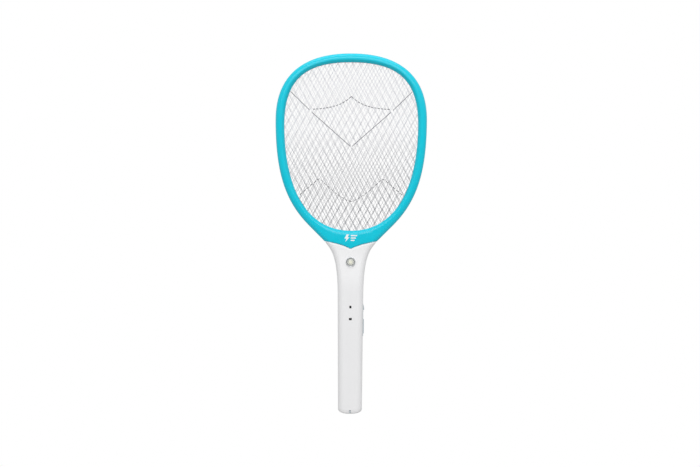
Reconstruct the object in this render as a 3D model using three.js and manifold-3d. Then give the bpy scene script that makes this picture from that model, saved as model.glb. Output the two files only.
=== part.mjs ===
// A rechargeable electric fly swatter in millimetres: an egg-shaped head with three nets in a
// two-part rim, and a hollow two-part handle with a lamp, two side controls, a high-voltage board,
// a battery and a mains plug that slides out of the foot.
// The swatter stands head up along +Z, its front faces -Y and its side controls face +X.
// Heights are measured up from the foot of the handle. The whole model is then lowered by
// GRIP_HEIGHT, so that its origin lies in the middle of the grip.
import * as THREE from "three";
import { mergeVertices } from "three/addons/utils/BufferGeometryUtils.js";
import Module from "manifold-3d";

const wasm = await Module();
wasm.setup();

// ---- Driving dimensions ----

const TOTAL_LENGTH = 535;
const HEAD_WIDTH = 225;
const HEAD_DEPTH = 21;
const GRIP_HEIGHT = 100;
const GAP = 0.3;
const SEAM = 0.15;

// The head: its widest height, its opening, and the V where the handle starts.
const WIDEST_HEIGHT = 436;
const HEAD_CENTRE = 400;
const RIM_WIDTH = 13;
const OPENING_HALF_WIDTH = HEAD_WIDTH / 2 - RIM_WIDTH;
const OPENING_TOP = TOTAL_LENGTH - RIM_WIDTH;
const OPENING_BOTTOM = 271.5;
const YOKE_TIP = 244.8;
const YOKE_CORNER = new THREE.Vector2(38.8, 255.6);
const YOKE_SHOULDER = new THREE.Vector2(61.3, 278.1);
const RIM_WALL = 2;
const PLATE_INSIDE = 8;

// The handle: its widths, depths and wall.
const FOOT_HALF_WIDTH = 17.7;
const NECK_HALF_WIDTH = 18.9;
const NECK_HEIGHT = 170;
const HANDLE_HALF_DEPTH = 14.5;
const NECK_HALF_DEPTH = 10.4;
const HANDLE_WALL = 2;
const FLOOR = 2.5;
const CORNER_X = 9;
const CORNER_Y = 11;
const FOOT_RADIUS = 41;
const FOOT_CORNER = 4;
const FOOT_FLAT = 5;

// The tongue of the handle that is held inside the head's yoke.
const TONGUE_TOP = 263;
const TONGUE_HALF_WIDTH = 29;
const TONGUE_HALF_DEPTH = 7.7;

// The nets, from the middle plane of the head outwards.
const NET_THICKNESS = 0.6;
const OUTER_NET_DEPTH = 3.9;
const NET_SEAT = 5.2;
const CELL_WIDTH = 30;
const CELL_HEIGHT = 53;
const WIRE_WIDTH = 1;

// The side controls: how far their faces stand out and the heights that they lie between.
const PLATE_FACE = 19.1;
const PLATE_BOTTOM = 115;
const PLATE_TOP = 163;
const KNOB_HEIGHT = 157.4;
const KNOB_HALF = 3.8;
const KNOB_TRAVEL = 6;
const BUTTON_HEIGHT = 129.7;
const BUTTON_HALF = 11;
const SKIRT = [12.4, 14.1];
const SWITCH_DEPTH = -2.3;

// The front of the handle: the lamp, and the two indicators above each other below it.
const LAMP_HEIGHT = 224.9;
const LAMP_HOLE_RADIUS = 6.4;
const INDICATORS = [
  { name: "charge_indicator", halfWidth: 1.3, halfHeight: 1.65, height: KNOB_HEIGHT + 0.95 },
  { name: "power_indicator", halfWidth: 1.8, halfHeight: 1.4, height: 140.5 },
];

// The foot: its end plate, and the mains plug that slides out through it.
const INSERT_HALF_WIDTH = 11;
const INSERT_HALF_DEPTH = 5.2;
const INSERT_TOP = 3.4;
const CATCH_HALF_WIDTH = 1.2;
const CATCH_BOTTOM = 1.5;
const CATCH_TOP = 5.1;
const PLUG_TRAVEL = 19;
const PIN_SPACING = 12.7;

// Inside the handle.
const BOARD_BACK = 2.6;
const BOARD_FRONT = 1;
const BATTERY_BOTTOM = 40;
const BATTERY_TOP = 92;

// ---- Materials ----

function material(color, roughness, metalness = 0) {
  return new THREE.MeshStandardMaterial({ color, roughness, metalness });
}

const cyanPlastic = material(0x2bc6de, 0.35);
const whitePlastic = material(0xececec, 0.4);
const trimPlastic = material(0xc3cbce, 0.4);
const netSteel = material(0xc4c6c8, 0.35, 1);
const screwSteel = material(0x9a9c9e, 0.3, 1);
const blackPlastic = material(0x111214, 0.3);
const spacerPlastic = material(0xe4e4e0, 0.6);
const boardGreen = material(0x1e6a3a, 0.5);
const ferrite = material(0x2d2c2e, 0.7);
const copper = material(0xb5683a, 0.4, 1);
const filmRed = material(0x9c3b22, 0.4);
const brass = material(0xc9a75a, 0.3, 1);
const redSleeve = material(0xb4231e, 0.5);
const blackSleeve = material(0x1a1a1c, 0.5);
const greyChrome = material(0x9b9da0, 0.3, 0.6);
const mirror = material(0xdddddd, 0.1, 1);
const clearLens = material(0xf2f4f0, 0.05);
const ledYellow = material(0xf0e28a, 0.2);
const batteryGrey = material(0x5c6066, 0.5);

// ---- Solids ----

function signedVolume(positions, index) {
  const corners = [new THREE.Vector3(), new THREE.Vector3(), new THREE.Vector3()];
  let volume = 0;
  for (let start = 0; start < index.length; start += 3) {
    corners.forEach((corner, side) => corner.fromArray(positions, 3 * index[start + side]));
    volume += corners[0].dot(corners[1].clone().cross(corners[2]));
  }
  return volume;
}

// A closed geometry as a solid, with its slivers left out and its faces pointing outwards.
function solidOf(geometry) {
  const bare = geometry.clone();
  bare.deleteAttribute("normal");
  bare.deleteAttribute("uv");
  const merged = mergeVertices(bare, 1e-4);
  const positions = merged.attributes.position.array;
  const triangles = [];
  for (let start = 0; start < merged.index.count; start += 3) {
    const [a, b, c] = merged.index.array.slice(start, start + 3);
    if (a !== b && b !== c && c !== a) triangles.push([a, b, c]);
  }
  const inside = signedVolume(positions, triangles.flat()) < 0;
  const ordered = triangles.map(([a, b, c]) => (inside ? [a, c, b] : [a, b, c]));
  return new wasm.Manifold(new wasm.Mesh({
    numProp: 3,
    vertProperties: Float32Array.from(positions),
    triVerts: Uint32Array.from(ordered.flat()),
  }));
}

function geometryOf(solid) {
  const mesh = solid.getMesh();
  const geometry = new THREE.BufferGeometry();
  geometry.setAttribute("position", new THREE.BufferAttribute(mesh.vertProperties.slice(), 3));
  geometry.setIndex(new THREE.BufferAttribute(mesh.triVerts.slice(), 1));
  geometry.computeVertexNormals();
  return geometry;
}

function block([x0, x1], [y0, y1], [z0, z1]) {
  const geometry = new THREE.BoxGeometry(x1 - x0, y1 - y0, z1 - z0);
  geometry.translate((x0 + x1) / 2, (y0 + y1) / 2, (z0 + z1) / 2);
  return solidOf(geometry);
}

// A round bar between two points.
function rod(radius, from, to, sides = 12) {
  const start = new THREE.Vector3(...from);
  const end = new THREE.Vector3(...to);
  const along = end.clone().sub(start);
  const geometry = new THREE.CylinderGeometry(radius, radius, along.length(), sides);
  const turn = new THREE.Quaternion().setFromUnitVectors(
    new THREE.Vector3(0, 1, 0),
    along.clone().normalize(),
  );
  geometry.applyQuaternion(turn);
  const middle = start.add(end).multiplyScalar(0.5);
  geometry.translate(middle.x, middle.y, middle.z);
  return solidOf(geometry);
}

// A solid turned about Y from a closed profile of [radius, y] points.
function turned(profile, sides = 14) {
  const points = [...profile, profile[0]].map(([radius, y]) => new THREE.Vector2(radius, y));
  return solidOf(new THREE.LatheGeometry(points, sides));
}

// An outline drawn in X and Z, given a thickness from y0 to y1.
function slab(outline, y0, y1) {
  const shape = new THREE.Shape(outline);
  const geometry = new THREE.ExtrudeGeometry(shape, { depth: y1 - y0, bevelEnabled: false });
  geometry.rotateX(Math.PI / 2);
  geometry.translate(0, y1, 0);
  return solidOf(geometry);
}

// A skin over rings of points, joined end to end when closed, or capped at both ends.
function loft(rings, closed = false) {
  const size = rings[0].length;
  const index = [];
  const spans = closed ? rings.length : rings.length - 1;
  for (let ring = 0; ring < spans; ring++) {
    const here = ring * size;
    const there = ((ring + 1) % rings.length) * size;
    for (let side = 0; side < size; side++) {
      const next = (side + 1) % size;
      index.push(here + side, here + next, there + next);
      index.push(here + side, there + next, there + side);
    }
  }
  if (!closed) {
    const last = (rings.length - 1) * size;
    for (let side = 1; side < size - 1; side++) {
      index.push(0, side + 1, side);
      index.push(last, last + side, last + side + 1);
    }
  }
  const geometry = new THREE.BufferGeometry();
  const positions = rings.flat().flatMap((point) => point.toArray());
  geometry.setAttribute("position", new THREE.Float32BufferAttribute(positions, 3));
  geometry.setIndex(index);
  return solidOf(geometry);
}

// A round wire through points, flat at both ends.
function wire(points, radius, steps) {
  const route = new THREE.CatmullRomCurve3(points.map((point) => new THREE.Vector3(...point)));
  const section = new THREE.Shape();
  section.absarc(0, 0, radius, 0, 2 * Math.PI);
  return solidOf(new THREE.ExtrudeGeometry(section, {
    extrudePath: route,
    steps,
    curveSegments: 3,
    bevelEnabled: false,
  }));
}

// ---- The scene graph ----

const swatter = new THREE.Group();
const raised = new THREE.Group();
raised.position.z = -GRIP_HEIGHT;
swatter.add(raised);

function addPiece(name, solid, finish, parent = raised) {
  const mesh = new THREE.Mesh(geometryOf(solid), finish);
  mesh.name = name;
  parent.add(mesh);
}

// ---- Outlines of the head ----

function bezier(...points) {
  return new THREE.CubicBezierCurve(...points.map(([x, z]) => new THREE.Vector2(x, z)));
}

// The right half of the outer edge, from the top round to the tip of the V.
const crownCurve = bezier(
  [0, TOTAL_LENGTH],
  [73, TOTAL_LENGTH],
  [HEAD_WIDTH / 2, WIDEST_HEIGHT + 65.3],
  [HEAD_WIDTH / 2, WIDEST_HEIGHT],
);
const flankCurve = bezier(
  [HEAD_WIDTH / 2, WIDEST_HEIGHT],
  [HEAD_WIDTH / 2, WIDEST_HEIGHT - 84.9],
  [YOKE_SHOULDER.x + 33.2, YOKE_SHOULDER.y + 33.2],
  YOKE_SHOULDER.toArray(),
);
const shoulderLine = new THREE.LineCurve(YOKE_SHOULDER, YOKE_CORNER);
const seamCurve = bezier(YOKE_CORNER.toArray(), [18, 253.2], [8, 248.6], [0, YOKE_TIP]);
const seamPoints = seamCurve.getPoints(6);

// The right half of the opening's edge, from the top to the bottom.
const opening = new THREE.CurvePath();
opening.add(bezier(
  [0, OPENING_TOP],
  [66.5, OPENING_TOP],
  [OPENING_HALF_WIDTH, 498.5],
  [OPENING_HALF_WIDTH, 429.3],
));
opening.add(bezier(
  [OPENING_HALF_WIDTH, 429.3],
  [OPENING_HALF_WIDTH, 349.5],
  [74.2, OPENING_BOTTOM],
  [0, OPENING_BOTTOM],
));

function bearing(point) {
  return Math.atan2(point.x, point.y - HEAD_CENTRE);
}

// The point of the opening's edge that lies in the same direction from the head's centre.
function openingToward(point) {
  const wanted = bearing(point);
  let low = 0;
  let high = 1;
  for (let halving = 0; halving < 40; halving++) {
    const middle = (low + high) / 2;
    if (bearing(opening.getPoint(middle)) < wanted) low = middle;
    else high = middle;
  }
  return opening.getPoint((low + high) / 2);
}

// One cut across the rim: where it starts, which way it runs, how wide it is, and how far its
// outer wall is opened, from 0 to 1, to let the handle's tongue in.
function rimStation(outer) {
  const inner = openingToward(outer);
  const outward = outer.clone().sub(inner);
  const onSeam = outer.y < YOKE_CORNER.y;
  const mouth = onSeam ? 1 - THREE.MathUtils.smoothstep(outer.x, 31, YOKE_CORNER.x) : 0;
  return { inner, outward: outward.clone().normalize(), width: outward.length(), mouth };
}

function mirrored(station) {
  const flip = new THREE.Vector2(-1, 1);
  return {
    ...station,
    inner: station.inner.clone().multiply(flip),
    outward: station.outward.clone().multiply(flip),
  };
}

function rimStations() {
  const right = [
    ...crownCurve.getPoints(9).slice(0, -1),
    ...flankCurve.getPoints(8).slice(0, -1),
    ...shoulderLine.getPoints(2).slice(0, -1),
    ...seamPoints,
  ].map(rimStation);
  const left = right.slice(1, -1).reverse().map(mirrored);
  return [...right, ...left];
}

const stations = rimStations();

// The loop that runs round the opening at a distance from its edge.
function loopAt(distance) {
  return stations.map(({ inner, outward }) => inner.clone().addScaledVector(outward, distance));
}

// A ring round the opening with the same section all the way, as [distance, y] points.
function ringAround(section) {
  return loft(stations.map(({ inner, outward }) => section.map(([distance, y]) => {
    const place = inner.clone().addScaledVector(outward, distance);
    return new THREE.Vector3(place.x, y, place.y);
  })), true);
}

// ---- Head shells ----

// The section of a head shell as [distance from the opening, distance from the middle plane].
function shellSection({ width, mouth }) {
  const front = HEAD_DEPTH / 2;
  const rise = (closedDepth, openDepth) => THREE.MathUtils.lerp(closedDepth, openDepth, mouth);
  return [
    [width, rise(SEAM, PLATE_INSIDE + 0.2)],
    [width, rise(3, front - 1.3)],
    [width - rise(0.8, 0.2), rise(6.2, front - 0.6)],
    [width - rise(2.6, 0.7), rise(8.8, front - 0.2)],
    [width - rise(5, 3), rise(front - 0.3, front)],
    [width - rise(7, 6), front],
    [2.2, front - 0.3],
    [1, 8.6],
    [0, 6.4],
    [0, 4.5],
    [4, 4.5],
    [5, PLATE_INSIDE],
    [width - 3.2, PLATE_INSIDE],
    [width - RIM_WALL, rise(5.5, PLATE_INSIDE + 0.05)],
    [width - RIM_WALL + rise(0, 1), rise(SEAM, PLATE_INSIDE + 0.1)],
  ];
}

// side is -1 for the front shell and 1 for the rear shell.
function headShell(side) {
  return loft(stations.map((station) => shellSection(station).map(([distance, depth]) => {
    const place = station.inner.clone().addScaledVector(station.outward, distance);
    return new THREE.Vector3(place.x, side * depth, place.y);
  })), true);
}

// The six screws round the rim, by bearing from the head's centre in degrees.
const RING_SCREW_BEARINGS = [30, 90, 135, -135, -90, -30];
const RING_SCREW_SEAT = 8.8;
const RING_SCREW_INSET = 7.6;

function ringScrewPlaces() {
  return RING_SCREW_BEARINGS.map((degrees) => {
    const angle = THREE.MathUtils.degToRad(degrees);
    const toward = new THREE.Vector2(Math.sin(Math.abs(angle)), HEAD_CENTRE + Math.cos(angle));
    const inner = openingToward(toward);
    const outward = inner.clone().sub(new THREE.Vector2(0, HEAD_CENTRE)).normalize();
    const place = inner.addScaledVector(outward, RING_SCREW_INSET);
    return [Math.sign(degrees) * place.x, place.y];
  });
}

const ringScrews = ringScrewPlaces();
const yokeScrews = [[-14, 258.4], [14, 258.4]];
const RING_SCREW = { headRadius: 2.3, shankRadius: 1.1, shankEnd: -5.5, seat: RING_SCREW_SEAT };
const YOKE_SCREW = { headRadius: 2.6, shankRadius: 1.3, shankEnd: 1.5, seat: RING_SCREW_SEAT + 0.2 };

function headFrontShell() {
  let shell = headShell(-1);
  for (const [x, z] of ringScrews) {
    shell = shell.add(rod(2.1, [x, -PLATE_INSIDE - 0.5, z], [x, -SEAM, z], 10));
    shell = shell.subtract(rod(1.4, [x, -7, z], [x, 1, z], 8));
  }
  return shell;
}

function headRearShell() {
  let shell = headShell(1);
  for (const [x, z] of ringScrews) {
    shell = shell.add(rod(2.1, [x, SEAM, z], [x, PLATE_INSIDE + 0.5, z], 10));
    shell = shell.subtract(rod(1.4, [x, -1, z], [x, HEAD_DEPTH, z], 8));
    shell = shell.subtract(rod(2.7, [x, RING_SCREW_SEAT, z], [x, HEAD_DEPTH, z], 10));
  }
  for (const [x, z] of yokeScrews) {
    shell = shell.subtract(rod(1.7, [x, 1, z], [x, HEAD_DEPTH, z], 8));
    shell = shell.subtract(rod(3, [x, YOKE_SCREW.seat, z], [x, HEAD_DEPTH, z], 10));
  }
  return shell;
}

// A pan-head screw along Y, with its head's top towards +Y.
function panScrew([x, z], { seat, headRadius, shankRadius, shankEnd }) {
  const headBottom = seat + GAP;
  const headHeight = 1;
  const screw = turned([
    [0, shankEnd - 1],
    [shankRadius, shankEnd],
    [shankRadius, headBottom],
    [headRadius, headBottom],
    [headRadius, headBottom + headHeight / 2],
    [0, headBottom + headHeight],
  ], 8);
  return screw.translate([x, 0, z]);
}

// ---- Nets and spacers ----

const CELL_SLOPE = Math.atan2(CELL_HEIGHT, CELL_WIDTH);

function diamond(x, z) {
  const halfWidth = CELL_WIDTH / 2 - WIRE_WIDTH / 2 / Math.sin(CELL_SLOPE);
  const halfHeight = CELL_HEIGHT / 2 - WIRE_WIDTH / 2 / Math.cos(CELL_SLOPE);
  return [[halfWidth, 0], [0, halfHeight], [-halfWidth, 0], [0, -halfHeight]]
    .map(([dx, dz]) => new THREE.Vector2(x + dx, z + dz));
}

// A net whose middle plane is at y, with its diamonds shifted sideways, and a tab for its lead.
function net(y, shift, tabX) {
  const near = y - NET_THICKNESS / 2;
  const far = y + NET_THICKNESS / 2;
  const everyOther = (point, number) => number % 2 === 0;
  const window = slab(loopAt(0.5).filter(everyOther), near - 1, far + 1);
  const tab = block([tabX - 3, tabX + 3], [near, far], [256, OPENING_BOTTOM - 3]);
  let sheet = slab(loopAt(NET_SEAT).filter(everyOther), near, far).add(tab);
  const columns = Math.ceil(HEAD_WIDTH / CELL_WIDTH / 2);
  const rows = Math.ceil((TOTAL_LENGTH - OPENING_BOTTOM) / CELL_HEIGHT);
  const smallest = 25 * (NET_THICKNESS + 2);
  for (let row = -rows; row <= rows; row++) {
    const stagger = row % 2 === 0 ? 0 : CELL_WIDTH / 2;
    for (let column = -columns; column <= columns; column++) {
      const x = column * CELL_WIDTH + stagger + shift;
      const z = HEAD_CENTRE + row * CELL_HEIGHT / 2;
      const hole = slab(diamond(x, z), near - 1, far + 1).intersect(window);
      if (hole.volume() > smallest) sheet = sheet.subtract(hole);
    }
  }
  return sheet;
}

// An insulating ring that holds an outer net away from the middle net.
function netSpacer(side) {
  const near = NET_THICKNESS / 2 + GAP;
  const far = OUTER_NET_DEPTH - NET_THICKNESS / 2 - GAP;
  return ringAround([
    [0.9, side * near],
    [NET_SEAT, side * near],
    [NET_SEAT, side * far],
    [0.9, side * far],
  ]);
}

function netStrap() {
  const reach = OUTER_NET_DEPTH - NET_THICKNESS / 2 - GAP;
  return block([6, 10], [-reach, reach], [256.4, 257]);
}

addPiece("head_front_shell", headFrontShell(), cyanPlastic);
addPiece("head_rear_shell", headRearShell(), cyanPlastic);
addPiece("front_net", net(-OUTER_NET_DEPTH, 0, 8), netSteel);
addPiece("centre_net", net(0, CELL_WIDTH / 2, -8), netSteel);
addPiece("rear_net", net(OUTER_NET_DEPTH, 0, 8), netSteel);
addPiece("front_net_spacer", netSpacer(-1), spacerPlastic);
addPiece("rear_net_spacer", netSpacer(1), spacerPlastic);
addPiece("outer_net_strap", netStrap(), brass);
ringScrews.forEach((place, number) => {
  addPiece(`ring_screw_${number + 1}`, panScrew(place, RING_SCREW), screwSteel);
});
yokeScrews.forEach((place, number) => {
  addPiece(`yoke_screw_${number + 1}`, panScrew(place, YOKE_SCREW), screwSteel);
});

// ---- Handle shells ----

const flareCurve = bezier(
  [NECK_HALF_WIDTH, NECK_HEIGHT],
  [NECK_HALF_WIDTH, 236],
  [28.9, 243],
  YOKE_CORNER.toArray(),
);

// The outer half-width of the handle at a height.
function handleHalfWidth(height) {
  if (height <= NECK_HEIGHT) {
    return THREE.MathUtils.lerp(FOOT_HALF_WIDTH, NECK_HALF_WIDTH, height / NECK_HEIGHT);
  }
  if (height >= YOKE_CORNER.y) return YOKE_CORNER.x + height - YOKE_CORNER.y;
  let low = 0;
  let high = 1;
  for (let halving = 0; halving < 40; halving++) {
    const middle = (low + high) / 2;
    if (flareCurve.getPoint(middle).y < height) low = middle;
    else high = middle;
  }
  return flareCurve.getPoint(low).x;
}

// The outer half-depth of the handle at a height: it thins towards the head.
function handleHalfDepth(height) {
  const thinned = THREE.MathUtils.smoothstep(height, 185, 250);
  return THREE.MathUtils.lerp(HANDLE_HALF_DEPTH, NECK_HALF_DEPTH, thinned);
}

// A rectangle with rounded corners, as a level ring of points.
function roundedRing(height, halfWidth, halfDepth, cornerX, cornerY) {
  const steps = 4;
  const quarters = [[1, 1], [-1, 1], [-1, -1], [1, -1]];
  return quarters.flatMap(([sideX, sideY], quarter) => {
    const points = [];
    for (let step = 0; step <= steps; step++) {
      const angle = (quarter + step / steps) * Math.PI / 2;
      points.push(new THREE.Vector3(
        sideX * (halfWidth - cornerX) + cornerX * Math.cos(angle),
        sideY * (halfDepth - cornerY) + cornerY * Math.sin(angle),
        height,
      ));
    }
    return points;
  });
}

// The handle's skin set in by a distance, from a bottom height to above the yoke.
function handleSkin(inset, bottom) {
  const heights = [bottom, NECK_HEIGHT, 185, 200, 212, 223, 232, 240, 248, YOKE_CORNER.y];
  const round = handleHalfDepth(bottom) - CORNER_Y;
  const rings = [...heights, TONGUE_TOP + 3].map((height) => {
    const halfWidth = handleHalfWidth(height) - inset;
    const halfDepth = handleHalfDepth(height) - inset;
    return roundedRing(height, halfWidth, halfDepth, CORNER_X - inset, halfDepth - round);
  });
  return loft(rings);
}

// The handle seen from the front, with its shallow round foot, as an outline.
function footOutline() {
  const outline = new THREE.Path();
  const drop = (x) => FOOT_RADIUS - Math.sqrt(FOOT_RADIUS ** 2 - x ** 2);
  const reach = FOOT_HALF_WIDTH - FOOT_CORNER * 0.6;
  const lift = drop(FOOT_FLAT);
  const edge = FOOT_HALF_WIDTH + 1;
  outline.moveTo(-FOOT_FLAT, 0);
  outline.lineTo(FOOT_FLAT, 0);
  for (const x of [9, 12.5, reach]) outline.lineTo(x, drop(x) - lift);
  outline.quadraticCurveTo(FOOT_HALF_WIDTH, drop(reach) - lift + 0.6, FOOT_HALF_WIDTH + 0.03, 8);
  outline.lineTo(edge, 60);
  outline.lineTo(80, 200);
  outline.lineTo(80, TONGUE_TOP + 1);
  outline.lineTo(-80, TONGUE_TOP + 1);
  outline.lineTo(-80, 200);
  outline.lineTo(-edge, 60);
  outline.lineTo(-FOOT_HALF_WIDTH - 0.03, 8);
  outline.quadraticCurveTo(-FOOT_HALF_WIDTH, drop(reach) - lift + 0.6, -reach, drop(reach) - lift);
  for (const x of [-12.5, -9]) outline.lineTo(x, drop(x) - lift);
  return outline.getPoints(5);
}

// The space above the seam of the yoke, without the slot that the tongue fills.
function aboveSeam() {
  const left = seamPoints.slice(0, -1).reverse().map((point) => new THREE.Vector2(-point.x, point.y));
  const seam = [...seamPoints, ...left].map((point) => new THREE.Vector2(point.x, point.y - GAP));
  const above = slab([
    new THREE.Vector2(60, YOKE_CORNER.y - GAP),
    ...seam,
    new THREE.Vector2(-60, YOKE_CORNER.y - GAP),
    new THREE.Vector2(-60, 300),
    new THREE.Vector2(60, 300),
  ], -30, 30);
  const slot = block(
    [-TONGUE_HALF_WIDTH, TONGUE_HALF_WIDTH],
    [-TONGUE_HALF_DEPTH, TONGUE_HALF_DEPTH],
    [200, 320],
  );
  return above.subtract(slot);
}

// The tongue is a flat tube that starts inside the flare and ends inside the yoke.
function tongue() {
  const ringAt = (inset) => (height) => roundedRing(
    height,
    Math.min(TONGUE_HALF_WIDTH, handleHalfWidth(height) - 1) - inset,
    TONGUE_HALF_DEPTH + 0.9 - inset,
    4 - inset,
    4 - inset,
  );
  const outside = loft([236, 241, 246, TONGUE_TOP].map(ringAt(0)));
  const inside = loft([235, 241, 246, TONGUE_TOP + 2].map(ringAt(2.9)));
  return outside.subtract(inside);
}

const handleScrews = [
  { place: [-9.5, 36], boss: 2.7 },
  { place: [9.5, 36], boss: 2.7 },
  { place: [0, 96.5], boss: 3.6 },
  { place: [0, 209], boss: 3.6 },
];
const HANDLE_SCREW_SEAT = 9;

function switchWindow() {
  return block([15.9, 25], [-6.3, 6.3], [PLATE_BOTTOM - GAP, PLATE_TOP + GAP]);
}

function insertHole() {
  const halfWidth = INSERT_HALF_WIDTH + GAP;
  const halfDepth = INSERT_HALF_DEPTH + GAP;
  return block([-halfWidth, halfWidth], [-halfDepth, halfDepth], [-1, FLOOR + 0.5]);
}

// Both halves of the handle in one piece, before they are parted.
function handleTube() {
  const solidHandle = handleSkin(0, 0).intersect(slab(footOutline(), -20, 20));
  const hollow = handleSkin(HANDLE_WALL, FLOOR);
  return solidHandle
    .subtract(hollow)
    .add(tongue())
    .subtract(aboveSeam())
    .subtract(insertHole())
    .subtract(switchWindow());
}

const handle = handleTube();

function handleFrontShell() {
  let shell = handle.intersect(block([-60, 60], [-30, -SEAM], [-5, 300]));
  for (const { place: [x, z], boss } of handleScrews) {
    const wall = handleHalfDepth(z) - 1;
    shell = shell.add(rod(boss, [x, -wall, z], [x, -SEAM, z], 10));
    shell = shell.subtract(rod(1.5, [x, -wall + 2, z], [x, 1, z], 8));
  }
  const wall = [-20, -5];
  for (const { halfWidth, halfHeight, height } of INDICATORS) {
    const across = halfWidth + GAP;
    const upright = halfHeight + GAP;
    shell = shell.subtract(block([-across, across], wall, [height - upright, height + upright]));
  }
  const [back, front] = wall;
  const catchHalf = CATCH_HALF_WIDTH + GAP;
  return shell
    .subtract(rod(LAMP_HOLE_RADIUS, [0, back, LAMP_HEIGHT], [0, front, LAMP_HEIGHT], 24))
    .subtract(block([-catchHalf, catchHalf], [-20, -11.9], [CATCH_BOTTOM - GAP, CATCH_TOP + GAP]));
}

// The thumb slider runs in a shallow pocket in the back of the handle, so that it stays flush.
const THUMB_NECK = [26, 32];
const THUMB_PAD = [21, 37];
const POCKET_FLOOR = 12.8;

function handleRearShell() {
  let shell = handle.intersect(block([-60, 60], [SEAM, 30], [-5, 300]));
  for (const { place: [x, z], boss } of handleScrews) {
    const wall = handleHalfDepth(z) - 1;
    shell = shell.add(rod(boss, [x, SEAM, z], [x, wall, z], 10));
    shell = shell.subtract(rod(1.5, [x, -1, z], [x, 20, z], 8));
    shell = shell.subtract(rod(boss - 0.7, [x, HANDLE_SCREW_SEAT, z], [x, 20, z]));
  }
  for (const [x, z] of yokeScrews) {
    shell = shell.add(rod(2.8, [x, 1, z], [x, TONGUE_HALF_DEPTH - 1, z]));
    shell = shell.subtract(rod(1.6, [x, -1, z], [x, 20, z], 10));
  }
  const [neckBottom, neckTop] = THUMB_NECK;
  const [padBottom, padTop] = THUMB_PAD;
  return shell
    .add(block([-8.4, 8.4], [POCKET_FLOOR - HANDLE_WALL, 13.5], [FLOOR, padTop + 2.5]))
    .subtract(block([-6.3, 6.3], [POCKET_FLOOR, 20], [padBottom - PLUG_TRAVEL - GAP, padTop + GAP]))
    .subtract(block([-2.5, 2.5], [5, 20], [neckBottom - PLUG_TRAVEL - GAP, neckTop + GAP]));
}

addPiece("handle_front_shell", handleFrontShell(), whitePlastic);
addPiece("handle_rear_shell", handleRearShell(), whitePlastic);
handleScrews.forEach(({ place, boss }, number) => {
  const size = { seat: HANDLE_SCREW_SEAT, headRadius: boss - 1.1, shankRadius: 1.2, shankEnd: -8 };
  addPiece(`handle_screw_${number + 1}`, panScrew(place, size), screwSteel);
});

// ---- Foot: end plate, mains plug and its contacts ----

function endPlate() {
  const across = [-INSERT_HALF_WIDTH, INSERT_HALF_WIDTH];
  const deep = [-INSERT_HALF_DEPTH, INSERT_HALF_DEPTH];
  const insert = block(across, deep, [-1, INSERT_TOP]).intersect(slab(footOutline(), -20, 20));
  const flange = block([-12.5, 12.5], [-6.5, 6.5], [FLOOR + GAP, 4.2]);
  const catchWidth = [-CATCH_HALF_WIDTH, CATCH_HALF_WIDTH];
  const arm = block(catchWidth, [-12.4, -6], [FLOOR + GAP, 4.2]);
  const catchNose = block(catchWidth, [-13.7, -12.2], [CATCH_BOTTOM, CATCH_TOP]);
  let plate = insert.add(flange).add(arm).add(catchNose);
  for (const side of [-1, 1]) {
    const x = side * PIN_SPACING / 2;
    plate = plate.subtract(block([x - 1.05, x + 1.05], [-3.45, 3.45], [-2, 6]));
  }
  return plate;
}

const CARRIER_BOTTOM = 4.5 + PLUG_TRAVEL;

function plugCarrier() {
  const [neckBottom, neckTop] = THUMB_NECK;
  let carrier = block([-10.5, 10.5], [-6, 6], [CARRIER_BOTTOM, neckTop])
    .add(block([-2.2, 2.2], [5, POCKET_FLOOR], [neckBottom, neckTop]));
  for (const side of [-1, 1]) {
    const x = side * PIN_SPACING / 2;
    carrier = carrier.subtract(block([x - 1.05, x + 1.05], [-3.45, 3.45], [0, 29.3]));
  }
  return carrier;
}

// A flat plug blade with a tapered tip and a round hole.
function plugPin(side) {
  const x = side * PIN_SPACING / 2;
  const tip = 1.6;
  const blade = block([x - 0.75, x + 0.75], [-3.15, 3.15], [tip + 2, 29]);
  const point = loft([
    roundedRing(tip, 0.4, 2.2, 0.2, 0.5),
    roundedRing(tip + 2.5, 0.7, 3.1, 0.2, 0.5),
  ]).translate([x, 0, 0]);
  return blade.add(point).subtract(rod(1.5, [x - 2, 0, 12], [x + 2, 0, 12], 10));
}

// The ribbed pad in the handle's back that pushes the plug out.
function thumbSlider() {
  const back = POCKET_FLOOR + GAP;
  const top = HANDLE_HALF_DEPTH - 0.1;
  let pad = block([-6, 6], [back, top - 0.6], THUMB_PAD);
  for (let rib = 0; rib < 5; rib++) {
    const z = 24 + rib * 2.5;
    pad = pad.add(block([-4.8, 4.8], [back, top], [z - 0.5, z + 0.5]));
  }
  return pad;
}

addPiece("end_plate", endPlate(), trimPlastic);
addPiece("plug_carrier", plugCarrier(), blackPlastic);
addPiece("plug_thumb_slider", thumbSlider(), trimPlastic);
for (const [side, word] of [[-1, "left"], [1, "right"]]) {
  addPiece(`plug_pin_${word}`, plugPin(side), brass);
  const contact = block([side * 12.1 - 0.2, side * 12.1 + 0.2], [-2, 2], [6, 32.6]);
  addPiece(`charge_contact_${word}`, contact, brass);
  const lead = wire([
    [side * 13.2, 0, 31],
    [side * 14, 0, 38],
    [side * 14, 0, 66],
    [side * 13.6, 0, 90],
    [side * 13, 0, 100.6],
  ], 0.6, 9);
  addPiece(`charge_lead_${word}`, lead, blackSleeve);
}

// ---- Battery ----

function battery() {
  const can = block([-11, 11], [-10, 10], [BATTERY_BOTTOM, BATTERY_TOP - 2]);
  const lid = block([-10.4, 10.4], [-9.4, 9.4], [BATTERY_TOP - 2.2, BATTERY_TOP - 1]);
  const tag = (x) => block([x - 1.5, x + 1.5], [-5, -4.4], [BATTERY_TOP - 2, BATTERY_TOP]);
  return can.add(lid).add(tag(-7)).add(tag(7));
}

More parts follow.
